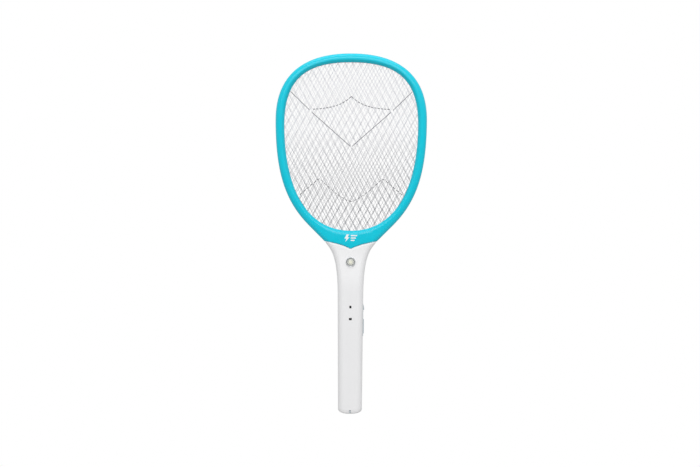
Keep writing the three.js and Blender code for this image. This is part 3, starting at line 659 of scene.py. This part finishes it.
def head_shell(name, side, node):
    """Half of the rim, with a post round each ring screw."""

    def section_of(width, mouth):
        return [(distance, side * y) for distance, y in shell_section(width, mouth)]

    shell = add_piece(name, [ring_round(section_of)], "rim_plastic", node)
    ends = sorted((side * SEAM, side * (PLATE_INSIDE + 0.5)))
    join(shell, *posts(ring_screws, RING_POST, ends))
    return shell


def build_head():
    front = head_shell("rim_front", FRONT, "head_front_shell")
    cut(front, *posts(ring_screws, RING_HOLE, (-7, 1)))
    rear = head_shell("rim_rear", REAR, "head_rear_shell")
    cut(rear, *posts(ring_screws, RING_HOLE, (-1, 9.5)), *posts(yoke_screws, YOKE_HOLE, (1, 9.5)))
    heads = posts(ring_screws, RING_HEAD_HOLE, (9, 14))
    cut(rear, *heads, *posts(yoke_screws, YOKE_HEAD_HOLE, (9.2, 14)))


def build_mark():
    """A printed pictogram on the yoke: a plain bolt and three short bars."""
    ink = (-HEAD_HALF_DEPTH - 0.04, -HEAD_HALF_DEPTH + 0.2)
    bolt = [(-6.2, 266), (-2.6, 266), (-4.6, 261.8), (-2, 261.8)]
    bolt += [(-8, 254.6), (-6.2, 259.8), (-9.2, 259.8)]
    parts = [bar(rounded(bolt, 0.25, 2), ink)]
    for number, reach in enumerate((9.5, 7.6, 5.7)):
        base = 263.3 - number * 3.5
        parts.append(bar(rounded(rectangle((0, reach), (base, base + 1.7)), 0.5), ink))
    add_piece("yoke_pictogram", parts, "trim_plastic", material=ink_white)


# ---- Nets ----

OUTER_NET_DEPTH = -node_middle("front_net").y
NET_HALF_THICKNESS = (node_box("front_net")[1].y - node_box("front_net")[0].y) / 2
NET_SEAT = 5.2
WIRE_STEP = 2.0
CREST = 2.6
ARCH_EDGE = 57
SHOULDER = 47
SHOULDER_HEIGHT = 349.7
SHOULDER_ROUND = 3
LOW_TIP = 315
LOW_EDGE = 77.7
DASH = 5


def crease_arch(x):
    """The height of the net's upper crease: a cusp in the middle, low at both sides."""
    return 450.6 + 20.6 * math.exp(-abs(x) / 20)


def crease_low(x):
    """The height of the net's lower crease: two round shoulders either side of a dip."""
    reach = abs(x)
    rising = LOW_TIP + (SHOULDER_HEIGHT - LOW_TIP) * (reach / SHOULDER) ** 1.42
    falling = SHOULDER_HEIGHT - 0.86 * (reach - SHOULDER)
    return (rising + falling - math.hypot(rising - falling, SHOULDER_ROUND)) / 2


def dome(x, height):
    """How far an outer net stands out from its seat, from 0 at its edge to the crest."""
    top = (OPENING_TOP - height) / 60
    bottom = (height - OPENING_BOTTOM) / 55
    side = (OPENING_HALF_WIDTH - abs(x)) / 28
    return CREST * max(0, min(1, top, bottom, side))


def inside(loop, x, height):
    """Whether a point lies inside a closed loop of (x, height) points."""
    odd = False
    for (x0, z0), (x1, z1) in zip(loop, loop[1:] + loop[:1]):
        if (z0 > height) != (z1 > height) and x < x0 + (height - z0) / (z1 - z0) * (x1 - x0):
            odd = not odd
    return odd


def wire_runs(loop, cell, knot, tilt, lean):
    """One family of a net's wires, each as a list of (x, height) inside the loop. knot is one
    point where two wires cross, tilt is how far the rows rise towards +X, and lean is 1 or -1
    for wires that rise to the right or left."""
    width, tall = cell
    reach = TOTAL_LENGTH - OPENING_BOTTOM
    count = int((2 * HEAD_HALF_WIDTH + reach * width / tall) / width)
    runs = []
    for number in range(-count, count + 1):
        run = []
        for sample in range(int(-reach / WIRE_STEP), int(reach / WIRE_STEP)):
            along = sample * WIRE_STEP
            across = number * width + lean * along * width / tall
            x, height = knot[0] + across, knot[1] + along + tilt * across
            if inside(loop, x, height):
                run.append((x, height))
        if len(run) > 2:
            runs.append(run)
    return runs


def net(name, node, side, depth, bulge, tab_x, cell, knot, tilt, radius):
    """A net of crossed wires in a thin frame, with a tab for its lead. depth is the frame's
    distance from the middle, and bulge how much of the dome it follows."""
    loop = loop_at(2.6)[::2]
    parts = []
    for lean, rise in ((1, 0.0), (-1, 0.75 * radius)):
        for run in wire_runs(loop, cell, knot, tilt, lean):
            path = [(x, side * (depth + bulge * dome(x, z) + rise), z) for x, z in run]
            parts.append(tube(path, radius))
    sheet = (side * depth - NET_HALF_THICKNESS, side * depth + NET_HALF_THICKNESS)
    parts.append(ring_round(lambda width, mouth: rectangle((0.9, NET_SEAT), sheet)))
    parts.append(block((tab_x - 3, tab_x + 3), sheet, (256, OPENING_BOTTOM - 3)))
    return add_piece(name, parts, "net_steel", node)


def dashes(line, reach, steps):
    """A crease from the middle out to its reach, as short routes with a gap between them."""
    route = [(reach * step / steps, line(reach * step / steps)) for step in range(steps + 1)]
    return [route[start:start + DASH] for start in range(0, steps - 3, DASH + 1)]


def build_creases(name, side, radius):
    """An outer net's folds, as wires along them darkened with painted fold shade: two dashed curves and
    a V.
    """
    routes = dashes(crease_arch, ARCH_EDGE, 70) + dashes(crease_low, LOW_EDGE, 90)
    routes += [straight((62, 450.5), (90.5, 478), 8), straight((58.9, 447.6), (1.5, 397), 16)]
    parts = []
    for route in routes:
        for mirror in (1, -1):
            path = [(mirror * x, side * (OUTER_NET_DEPTH + dome(x, z) + 0.5), z) for x, z in route]
            parts.append(tube(path, radius, 8))
    add_piece(name, parts, "net_steel", material=crease_shade_steel)


def build_spacer(name, node):
    """The insulating ring between the middle net and an outer one."""
    low, high = node_box(node)
    section = rounded(rectangle((0.9, NET_SEAT), (low.y, high.y)), 0.5, 3)
    add_piece(name, [ring_round(lambda width, mouth: section)], "spacer_plastic", node)


def build_nets():
    net("net_front", "front_net", FRONT, OUTER_NET_DEPTH, bulge=1, tab_x=8,
        cell=(10.74, 21.1), knot=(2.7, 346.6), tilt=-0.036, radius=0.26)
    net("net_centre", "centre_net", FRONT, 0, bulge=0, tab_x=-8,
        cell=(5.37, 10.55), knot=(4.1, 346.6), tilt=-0.036, radius=0.17)
    net("net_rear", "rear_net", REAR, OUTER_NET_DEPTH, bulge=1, tab_x=8,
        cell=(11.2, 18.2), knot=(-3.3, 347.7), tilt=0.03, radius=0.2)
    build_creases("net_creases_front", FRONT, 0.36)
    build_creases("net_creases_rear", REAR, 0.26)
    build_spacer("spacer_front", "front_net_spacer")
    build_spacer("spacer_rear", "rear_net_spacer")


# ---- Handle ----


def half_width(height):
    """The outer half-width of the handle at a height."""
    if height <= NECK_HEIGHT:
        return mix(FOOT_HALF_WIDTH, NECK_HALF_WIDTH, height / NECK_HEIGHT)
    if height >= YOKE_CORNER[1]:
        return YOKE_CORNER[0] + height - YOKE_CORNER[1]
    return along_curve(flare_points, lambda point: point.y, height).x


def half_depth(height):
    return mix(HANDLE_HALF_DEPTH, NECK_HALF_DEPTH, smooth(height, 185, 250))


def seam_height(x):
    """The height of the V seam above a point of the handle's face."""
    return along_curve(seam_points, lambda point: point.x, min(abs(x), YOKE_CORNER[0])).y


def foot_lift(x):
    """How far the handle's round foot has risen at a distance from its middle."""
    reach = max(abs(x), FOOT_FLAT)
    return math.sqrt(FOOT_RADIUS**2 - FOOT_FLAT**2) - math.sqrt(FOOT_RADIUS**2 - reach**2)


def half_loop(wide, deep, corner_x, corner_y, side):
    """Half of a rounded section, from the +X edge round the face to the -X edge."""
    points = [(wide, SEAM)]
    points += arc((wide - corner_x, deep - corner_y), (corner_x, corner_y), 0, 90, 14)
    points += [((wide - corner_x) * share, deep) for share in (0.66, 0.33, 0)]
    points += [(-x, y) for x, y in reversed(points[:-1])]
    return [(x, side * y) for x, y in points]


def handle_section(height, inset, side):
    deep = half_depth(height)
    corner_y = min(CORNER_Y, deep - 3.5) - inset
    return half_loop(half_width(height) - inset, deep - inset, CORNER_X - inset, corner_y, side)


def handle_skin(inset, lip, side):
    """The rings of one skin of a handle shell, from its round foot to the V seam, where it
    turns in by its lip."""
    rings = []
    for tuck, rise in arc((FOOT_ROUND, FOOT_ROUND), (FOOT_ROUND, FOOT_ROUND), 270, 180, 6)[:-1]:
        section = handle_section(10, inset + tuck, side)
        rings.append([(x, y, foot_lift(x) + rise + inset) for x, y in section])
    for level in [8, 20, 50, 85, 120, 150] + [NECK_HEIGHT + 4 * step for step in range(12)]:
        bend = 1 - smooth(level, 0, 30)
        section = handle_section(level, inset, side)
        rings.append([(x, y, level + bend * (foot_lift(x) - 1)) for x, y in section])
    base = NECK_HEIGHT + 44
    rings += [seam_ring(base, step / 12, inset, 0, LIP_HEIGHT, side) for step in range(1, 13)]
    for tuck, drop in arc((lip, LIP_HEIGHT), (lip, LIP_HEIGHT), 180, 270, 5)[1:]:
        rings.append(seam_ring(base, 1, inset, tuck, drop, side))
    return rings


def seam_ring(base, share, inset, tuck, drop, side):
    """A ring part of the way from a level to just under the V seam, which it follows."""
    ring = []
    for column in range(len(handle_section(base, inset, side))):
        height = base
        for _ in range(12):
            x, y = handle_section(height, inset + tuck, side)[column]
            height = mix(base, seam_height(x) - GAP - drop, share)
        ring.append((x, y, height))
    return ring


def closed_shell(outer, inner):
    """A part between an outer and an inner skin, joined along their edges. Both are rings of
    (x, y, height) along half of a section."""
    rings = [[at(*point) for point in o + i[::-1]] for o, i in zip(outer, inner)]
    points, faces = skin(rings, caps=False)
    size = len(rings[0])
    top = (len(rings) - 1) * size
    for column in range(size // 2 - 1):
        opposite = size - 2 - column
        faces.append((column + 1, column, opposite + 1, opposite))
        faces.append((top + column, top + column + 1, top + opposite, top + opposite + 1))
    return points, faces


def tongue_skin(inset, side):
    """The rings of one skin of half the tongue, a flat tube that the yoke closes round."""
    rings = []
    levels = ((236, 8.6), (241, 8.4), (244.4, TONGUE_HALF_DEPTH), (TONGUE_TOP, TONGUE_HALF_DEPTH))
    for height, deep in levels:
        wide = min(TONGUE_HALF_WIDTH, half_width(height) - 1) - inset
        section = half_loop(wide, deep - inset, 4 - inset, 4 - inset, side)
        rings.append([(x, y, height) for x, y in section])
    return rings


FRONT_WALL = (-20, -5)
OUTSIDE = 20
SCREW_SEAT = 9
SIDE_PLATE = ((-6, 6), (115, 163))
SIDE_PLATE_CORNER = 1.6
PLATE_WINDOW = ((-11.3, 11.3), (-5.5, 5.5), (-2, 3.2))
CATCH_NOTCH = ((-1.5, 1.5), (1.2, 5.4))
LAMP_HOLE = 6.4
INDICATOR_FLANGE = 1
lamp_height = node_middle("lamp_lens").z
POCKET_FLOOR = 12.8
PLUG_TRAVEL = 19
pad_low, pad_high = node_box("plug_thumb_slider")
NECK_BOTTOM, NECK_TOP = pad_low.z + 5, pad_high.z - 5


def side_plate_outline(margin):
    """The outline of the side trim plate as (y, height), grown by a margin."""
    return rounded(rectangle(*SIDE_PLATE, margin), SIDE_PLATE_CORNER + margin, 6)


def screw_boss(node):
    """The radius of the post round a handle screw."""
    low, high = node_box(node)
    return (high.z - low.z) / 2 + 1.1


def handle_shell(name, side, node):
    """A handle shell with its tongue and screw posts, before its openings are cut."""
    skins = handle_skin(0, LIP_DEPTH, side), handle_skin(HANDLE_WALL, 0, side)
    shell = add_piece(name, [closed_shell(*skins)], "handle_plastic", node)
    join(shell, closed_shell(tongue_skin(0, side), tongue_skin(TONGUE_WALL, side)))
    bosses = []
    for screw in handle_screws:
        wall = half_depth(node_middle(screw).z) - 1
        bosses.append(post(screw, screw_boss(screw), sorted((side * SEAM, side * wall))))
    join(shell, *bosses)
    cut(shell, block(*PLATE_WINDOW), bar(side_plate_outline(GAP), (15.9, 25), "x"))
    return shell


def indicator_hole(node):
    """The opening for an indicator's window, a little larger than its face."""
    low, high = node_box(node)
    hole = rectangle((low.x, high.x), (low.z, high.z), GAP - INDICATOR_FLANGE)
    return bar(rounded(hole, 0.5), FRONT_WALL)


def build_handle():
    front = handle_shell("grip_front", FRONT, "handle_front_shell")
    lamp_hole = bar(circle(0, lamp_height, LAMP_HOLE, 64), FRONT_WALL)
    notch = bar(rounded(rectangle(*CATCH_NOTCH), 0.4), (-OUTSIDE, -11.9))
    cut(front, lamp_hole, notch, indicator_hole("charge_indicator"), indicator_hole("power_indicator"))
    cut(front, *posts(handle_screws, 1, (-8.5, 1)))
    rear = handle_shell("grip_rear", REAR, "handle_rear_shell")
    pocket_bottom = pad_low.z - PLUG_TRAVEL - GAP
    join(rear, *posts(yoke_screws, 2.65, (1, TONGUE_HALF_DEPTH - 1)))
    join(rear, block((-8.4, 8.4), (POCKET_FLOOR - HANDLE_WALL, 13.5), (2.5, pad_high.z + 2.5)))
    pocket = rounded(rectangle((-6.3, 6.3), (pocket_bottom, pad_high.z + GAP)), 1.2, 6)
    cut(rear, bar(pocket, (POCKET_FLOOR, OUTSIDE)))
    cut(rear, block((-2.5, 2.5), (5, OUTSIDE), (NECK_BOTTOM - PLUG_TRAVEL - GAP, NECK_TOP + GAP)))
    cut(rear, *posts(handle_screws, 1.5, (-1, 10)), *posts(yoke_screws, 1.6, (-1, OUTSIDE)))
    seats = [post(screw, screw_boss(screw) - 0.7, (SCREW_SEAT, OUTSIDE)) for screw in handle_screws]
    cut(rear, *seats)


# ---- Foot: end plate, mains plug and its thumb slider ----

PIN_HALF_SPACING = 6.35
PIN_SLOT = ((-1.05, 1.05), (-3.45, 3.45))
FOOT_FLANGE = (2.8, 4.2)


def pin_slots(heights):
    """The slots that the two blades run in."""
    (x0, x1), across = PIN_SLOT
    return [block((x + x0, x + x1), across, heights) for x in (-PIN_HALF_SPACING, PIN_HALF_SPACING)]


def build_foot_plate():
    """The end plate: an insert flush with the foot, a flange behind it and a snap catch."""
    foot = [mix(-11, 11, step / 12) for step in range(13)]
    outline = [(x, foot_lift(x) + 0.1) for x in foot] + [(11, 3.4), (-11, 3.4)]
    plate = add_piece("foot_plate", [bar(outline, (-5.2, 5.2))], "trim_plastic", "end_plate")
    join(plate, block((-12.5, 12.5), (-6.5, 6.5), FOOT_FLANGE))
    join(plate, block((-1.2, 1.2), (-12.4, -6), FOOT_FLANGE))
    catch = [(-13.7, 1.5), (-12.2, 1.5), (-12.2, 5.1), (-13, 5.1), (-13.7, 4.2)]
    join(plate, bar(catch, (-1.2, 1.2), "x"))
    cut(plate, *pin_slots((-2, 6)))
    soften(plate, 0.2)


def build_plug_block():
    """The plug's carrier: ribbed cheeks, and a neck through the slot to the thumb slider."""
    low, high = node_box("plug_carrier")
    body = bar(rounded(rectangle((low.x, high.x), (-6, 6)), 1.5), (low.z, high.z), "z")
    carrier = add_piece("plug_block", [body], "black_plastic", "plug_carrier", body="charging_plug")
    join(carrier, block((-2.2, 2.2), (5, POCKET_FLOOR), (NECK_BOTTOM, NECK_TOP)))
    for step in range(3):
        base = low.z + 2 + step * 2.2
        for face in ((-7, -5.6), (5.6, 7)):
            cut(carrier, block((-8, 8), face, (base, base + 0.8)))
    cut(carrier, *pin_slots((0, 29.3)))
    soften(carrier, 0.25)


def build_plug_blade(word):
    """A flat blade with a tapered tip and a round hole."""
    node = f"plug_pin_{word}"
    low, high = node_box(node)
    half, shoulder = 3.15, low.z + 2.6
    tip = [(-half, shoulder), (-2.2, low.z), (2.2, low.z), (half, shoulder)]
    shape = bar(rounded(tip, 0.8) + [(half, high.z), (-half, high.z)], (low.x, high.x), "x")
    blade = add_piece(f"plug_blade_{word}", [shape], "brass", node, body="charging_plug")
    cut(blade, bar(circle(0, 12, 1.5, 32), (low.x - 1, high.x + 1), "x"))
    soften(blade, 0.22, 3)


def build_thumb_pad():
    """The ribbed pad in the handle's back, with a plain arrow towards the foot."""
    back = pad_low.y
    face = back + 0.7
    outline = rounded(rectangle((pad_low.x, pad_high.x), (pad_low.z, pad_high.z)), 1.1, 6)
    pad = add_piece("thumb_pad", [bar(outline, (back, face))], "trim_plastic", "plug_thumb_slider",
                    body="charging_plug")
    crest = ((back + 0.3, -0.8), (back + 0.3, 0.8), (pad_high.y, 0.35), (pad_high.y, -0.35))
    for number in range(4):
        base = pad_low.z + 5.4 + number * 2.5
        rib = [(y, base + rise) for y, rise in crest]
        join(pad, bar(rib, (-4.8, 4.8), "x"))
    arrow = [(-2, pad_low.z + 3.6), (2, pad_low.z + 3.6), (0, pad_low.z + 1.3)]
    join(pad, bar(arrow, (back + 0.3, face + 0.35)))
    soften(pad, 0.15)


def build_foot():
    build_foot_plate()
    build_plug_block()
    for word in ("left", "right"):
        build_plug_blade(word)
        dress(f"charge_contact_{word}", "brass", 0.08)
    build_thumb_pad()


# ---- Side controls ----

KNOB_HEIGHT = 157.4
KNOB_TRAVEL = 6
BUTTON_HEIGHT = 129.7
BUTTON_HALF = 11
BUTTON_LOW, BUTTON_TOP = BUTTON_HEIGHT - BUTTON_HALF, BUTTON_HEIGHT + BUTTON_HALF
KNOB_LOW, KNOB_TOP = KNOB_HEIGHT - 3.8, KNOB_HEIGHT + 3.8
PLATE_FACE = 19.1
SKIRT = (12.4, 14.1)


def build_side_plate():
    """The trim plate with its two slots and a tick beside each position of the knob."""
    face = bar(side_plate_outline(0), (15.3, PLATE_FACE), "x")
    plate = add_piece("side_plate", [face], "trim_plastic", "switch_plate")
    flange = rounded(rectangle((-7, 7), (113.4, 164.6)), 1.2)
    join(plate, bar(flange, (14.4, 15.6), "x"))
    knob_slot = rectangle((-2.8, 2.8), (KNOB_LOW - KNOB_TRAVEL - GAP, KNOB_TOP + GAP))
    button_slot = rectangle((-4.5, 4.5), (BUTTON_LOW - GAP, BUTTON_TOP + GAP))
    through = (10, 25)
    cut(plate, bar(rounded(knob_slot, 0.5), through, "x"), bar(rounded(button_slot, 1), through, "x"))
    raised = (PLATE_FACE - 0.4, PLATE_FACE + 0.25)
    for position in range(3):
        height = KNOB_HEIGHT - position * KNOB_TRAVEL / 2
        join(plate, block(raised, (-5.1, -3.7), (height - 0.25, height + 0.25)))
    soften(plate, 0.15)


def build_side_knob():
    """The slide knob: a wedge with grooves across its slope, on a skirt behind the plate."""
    crest = [(14, KNOB_LOW), (19.4, KNOB_LOW), (20.8, KNOB_HEIGHT - 3.2)]
    for groove in range(4):
        share = (groove + 0.8) / 4.6
        height = KNOB_HEIGHT + mix(-3.2, 3.8, share)
        reach = mix(20.8, 19.6, share)
        crest += [(reach, height - 0.35), (reach - 0.45, height), (reach, height + 0.35)]
    crest += [(19.6, KNOB_TOP), (14, KNOB_TOP)]
    wedge = bar(rounded(crest, 0.3, 2), (-2.5, 2.5))
    knob = add_piece("side_knob", [wedge], "trim_plastic", "mode_knob", body="mode_slider")
    join(knob, block(SKIRT, (-3.6, 3.6), (KNOB_HEIGHT - 6.2, KNOB_HEIGHT + 6.2)))
    soften(knob, 0.15)


def build_side_button():
    """The press button: a long cap with sloping ends and grip grooves across its middle."""
    cap = bar(rounded(rectangle((-4.2, 4.2), (BUTTON_LOW, BUTTON_TOP)), 1.4, 6), (13, 20.1), "x")
    button = add_piece("side_button", [cap], "trim_plastic", "zap_button", body="zap_trigger")
    join(button, block(SKIRT, (-5.6, 5.6), (BUTTON_LOW - 1.6, BUTTON_TOP + 1.6)))
    slope = ((19.2, -1), (21, -1), (21, 1.2), (20.3, 1.2), (19.3, 0))
    for end, inward in ((BUTTON_LOW, 1), (BUTTON_TOP, -1)):
        wedge = [(x, end + inward * rise) for x, rise in slope]
        cut(button, bar(wedge, (-6, 6)))
    for groove in range(-2, 3):
        height = BUTTON_HEIGHT + groove * 2
        cut(button, block((19.75, 21), (-2.8, 2.8), (height - 0.35, height + 0.35)))
    soften(button, 0.3, 3)


def build_controls():
    build_side_plate()
    build_side_knob()
    build_side_button()
    for node in ("mode_switch_body", "mode_switch_stem", "zap_switch_body", "zap_switch_plunger"):
        dress(node, "black_plastic", 0.15)


# ---- Lamp and indicators ----


def build_lamp():
    """The lamp in its bezel, turned about an axis out of the handle's front face."""
    base = half_depth(lamp_height - 7)
    bezel = [(5.35, -4), (6.15, -4), (6.15, -1.8), (7.1, -1.8), (7.1, 0.9), (6.8, 1.3), (5.35, 0.1)]
    lens_dome = arc((0, 0.1), (5.1, 2), 0, 90, 14)
    hollow = arc((0, -0.3), (4.3, 1.3), 90, 0, 12)
    lens = lens_dome + hollow + [(4.3, -1.2), (5.1, -1.2)]
    cup = [(2.9, -5.2), (3.5, -5.2), (4.5, -3.6), (5.1, -1.5), (4.75, -1.5), (4.1, -3.4), (2.9, -4.8)]
    diode = [(0, -7.5), (2.8, -7.5), (2.8, -6.5), (2.45, -6.5)]
    diode += arc((0, -3.9), (2.45, 2.3), 0, 90, 12)
    for name, profile, slot, node in (
        ("lamp_ring", rounded(bezel, 0.3), "bezel_chrome", "lamp_bezel"),
        ("lamp_dome", lens, "lens", "lamp_lens"),
        ("lamp_cup", cup, "reflector", "lamp_reflector"),
        ("lamp_diode", diode, "led", "lamp_led"),
    ):
        add_piece(name, [turned(profile, 0, lamp_height, 72, FRONT, base)], slot, node)


def build_indicator(name, node):
    """A dark window, crowned a little, with a collar behind the wall."""
    low, high = node_box(node)
    size = (low.x, high.x), (low.z, high.z)
    rings = []
    for tuck, y in ((0, -11), (0, -HANDLE_HALF_DEPTH - 0.02), (0.25, low.y + 0.04), (0.7, low.y)):
        outline = rounded(rectangle(*size, -INDICATOR_FLANGE - tuck), 0.55)
        rings.append([at(x, y, z) for x, z in outline])
    window = add_piece(name, [skin(rings)], "black_plastic", node)
    collar = rounded(rectangle(*size), 0.5)
    join(window, bar(collar, (-HANDLE_HALF_DEPTH + HANDLE_WALL + GAP, high.y)))


def build_lights():
    build_lamp()
    build_indicator("window_charge", "charge_indicator")
    build_indicator("window_power", "power_indicator")


# ---- Inside: battery, board and leads ----


def dress(node, slot, edge):
    """Gives a CAD node that stays its material, and rounds its edges."""
    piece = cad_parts[node]
    piece.data.materials.clear()
    piece.data.materials.append(materials[slot])
    weld = piece.modifiers.new("shared corners", "WELD")
    weld.merge_threshold = 1e-6
    soften(piece, edge, 3)


def lead(node, slot, route, radius):
    """A round lead along a smooth curve through its route."""
    path = []
    padded = [Vector(point) for point in (route[0], *route, route[-1])]
    for before, start, end, after in zip(padded, padded[1:], padded[2:], padded[3:]):
        handles = start + (end - before) / 6, end - (after - start) / 6
        path += bezier((start, *handles, end), 6)[:-1]
    path.append(padded[-1])
    add_piece(f"{node}_wire", [tube(path, radius, 14)], slot, node)


def build_leads():
    for side, word in ((-1, "left"), (1, "right")):
        charge = [(13.2, 0, 31), (14, 0, 38), (14, 0, 66), (13.6, 0, 90), (13, 0, 100.6)]
        lead(f"charge_lead_{word}", "black_sleeve", [(side * x, y, z) for x, y, z in charge], 0.6)
    battery_top = node_box("battery")[1].z
    for side, word, slot in ((-1, "negative", "black_sleeve"), (1, "positive", "red_sleeve")):
        power = [(7, -3.4, battery_top - 0.4), (7, -3.4, battery_top + 4)]
        power += [(8, -1.8, 99.5), (8, -0.3, 102.9)]
        lead(f"battery_lead_{word}", slot, [(side * x, y, z) for x, y, z in power], 0.7)
    centre = [(-6, -1, 203), (-8, -1.4, 214), (-10, -1.4, 226), (-9, -1.4, 244), (-8, -1.3, 258)]
    outer = [(6, -1, 203), (9, -1.4, 214), (11, -1.4, 226), (9.5, -1.4, 244), (8, -0.5, 255.2)]
    lead("centre_net_lead", "red_sleeve", centre, 0.7)
    lead("outer_net_lead", "black_sleeve", outer, 0.7)


def build_battery():
    """A wrapped cell pack with a recessed lid and its two tags."""
    low, high = node_box("battery")
    can_top = high.z - 2
    size = (low.x, high.x), (low.y, high.y)
    outline = rounded(rectangle(*size), 1.6, 6)
    pack = add_piece("battery_pack", [bar(outline, (low.z, can_top), "z")], "battery", "battery")
    lid = rounded(rectangle(*size, -1), 1.2, 6)
    join(pack, bar(lid, (can_top - 0.4, can_top + 0.8), "z"))
    join(pack, *[block((x - 1.5, x + 1.5), (-5, -4.4), (can_top, high.z)) for x in (-7, 7)])
    soften(pack, 0.3, 3)


def build_resistor():
    """The discharge resistor, with swollen ends."""
    low, high = node_box("discharge_resistor")
    middle = (low + high) / 2
    radius = (high.z - low.z) / 2
    rings = []
    for share in range(13):
        x = mix(low.x, high.x, share / 12)
        waist = 0.82 if 3 <= share <= 9 else 1
        tip = 0.55 if share in (0, 12) else 1
        ring = circle(middle.y, middle.z, radius * waist * tip, 24)
        rings.append([at(x, y, z) for y, z in ring])
    add_piece("resistor_body", [skin(rings)], "spacer_plastic", "discharge_resistor")


def build_inside():
    build_leads()
    build_battery()
    build_resistor()
    dress("main_board", "board", 0.1)
    dress("hv_transformer_core", "ferrite", 0.3)
    dress("hv_transformer_winding", "copper_wire", 0.8)
    dress("hv_capacitor", "film_capacitor", 1.1)
    dress("charger_capacitor", "film_capacitor", 1.1)
    dress("drive_transistor", "black_plastic", 0.15)
    dress("hv_diode_1", "black_plastic", 0.2)
    dress("hv_diode_2", "black_plastic", 0.2)
    dress("outer_net_strap", "brass", 0.08)


# ---- Stage, lights and camera ----

# In metres: FRAME_WIDTH is how wide the view is at the swatter, and LEAN is in degrees.
CAMERA_DISTANCE = 4.0
FRAME_WIDTH = 1.041
VIEW_CENTRE = (-0.0011, 0.1673)
LEAN = -0.27
FLOOR_HEIGHT = -0.6
FLOOR_RADIUS = 4.4


def build_camera():
    data = bpy.data.cameras.new("camera")
    data.sensor_width = 36
    data.lens = data.sensor_width * CAMERA_DISTANCE / FRAME_WIDTH
    data.clip_end = 50
    camera = add_object("camera", data)
    camera.location = (VIEW_CENTRE[0], -CAMERA_DISTANCE, VIEW_CENTRE[1])
    camera.rotation_euler = (math.pi / 2, math.radians(LEAN), 0)
    bpy.context.scene.camera = camera


def area_light(name, place, target, size, power):
    data = bpy.data.lights.new(name, "AREA")
    data.shape = "RECTANGLE"
    data.size, data.size_y = size
    data.energy = power
    light = add_object(name, data)
    light.location = place
    light.rotation_euler = (Vector(target) - Vector(place)).to_track_quat("-Z", "Y").to_euler()


def build_surround(below, above, ahead):
    """A surround that looks white to the camera, but lights the swatter by a strength from below
    to above, dimmed by a share ahead of it, so that flat faces keep a clear gloss."""
    world = bpy.data.worlds.new("surround")
    bpy.context.scene.world = world
    world.use_nodes = True
    tree = world.node_tree
    nodes, link = tree.nodes, tree.links.new
    white = (1, 1, 1, 1)
    seen = set_sockets(nodes["Background"], Color=white)
    lit = set_sockets(nodes.new("ShaderNodeBackground"), Color=white)
    parts = nodes.new("ShaderNodeSeparateXYZ")
    link(nodes.new("ShaderNodeTexCoord").outputs["Generated"], parts.inputs["Vector"])
    strength = nodes.new("ShaderNodeMath")
    strength.operation = "MULTIPLY"
    upwards = spread_between(tree, parts.outputs["Z"], (-0.7, 0.8), (below, above))
    backwards = spread_between(tree, parts.outputs["Y"], (-0.95, -0.7), (ahead, 1))
    link(upwards, strength.inputs[0])
    link(backwards, strength.inputs[1])
    link(strength.outputs["Value"], lit.inputs["Strength"])
    pick = nodes.new("ShaderNodeMixShader")
    link(nodes.new("ShaderNodeLightPath").outputs["Is Camera Ray"], pick.inputs[0])
    link(lit.outputs[0], pick.inputs[1])
    link(seen.outputs[0], pick.inputs[2])
    link(pick.outputs[0], nodes["World Output"].inputs["Surface"])


def build_stage():
    """A pale floor well below the swatter, a white surround and soft lights from above."""
    bpy.ops.mesh.primitive_circle_add(vertices=96, radius=FLOOR_RADIUS, fill_type="NGON")
    floor = bpy.context.object
    floor.location.z = FLOOR_HEIGHT
    floor.name = "floor"
    floor.data.materials.append(shader("floor_paint", (184, 184, 184), 0.8))
    build_surround(below=0.3, above=0.86, ahead=0.6)
    area_light("sky_box", (0, -0.4, 2.4), (0, 0, 0.2), (2.4, 0.8), 14)
    area_light("front_box", (0.1, -3.0, 1.6), (0, 0, 0.16), (3.0, 1.6), 46)
    bpy.context.scene.view_settings.view_transform = "Standard"


build_camera()
build_stage()
build_head()
build_mark()
build_nets()
build_handle()
build_foot()
build_controls()
build_lights()
build_inside()
build_screws()
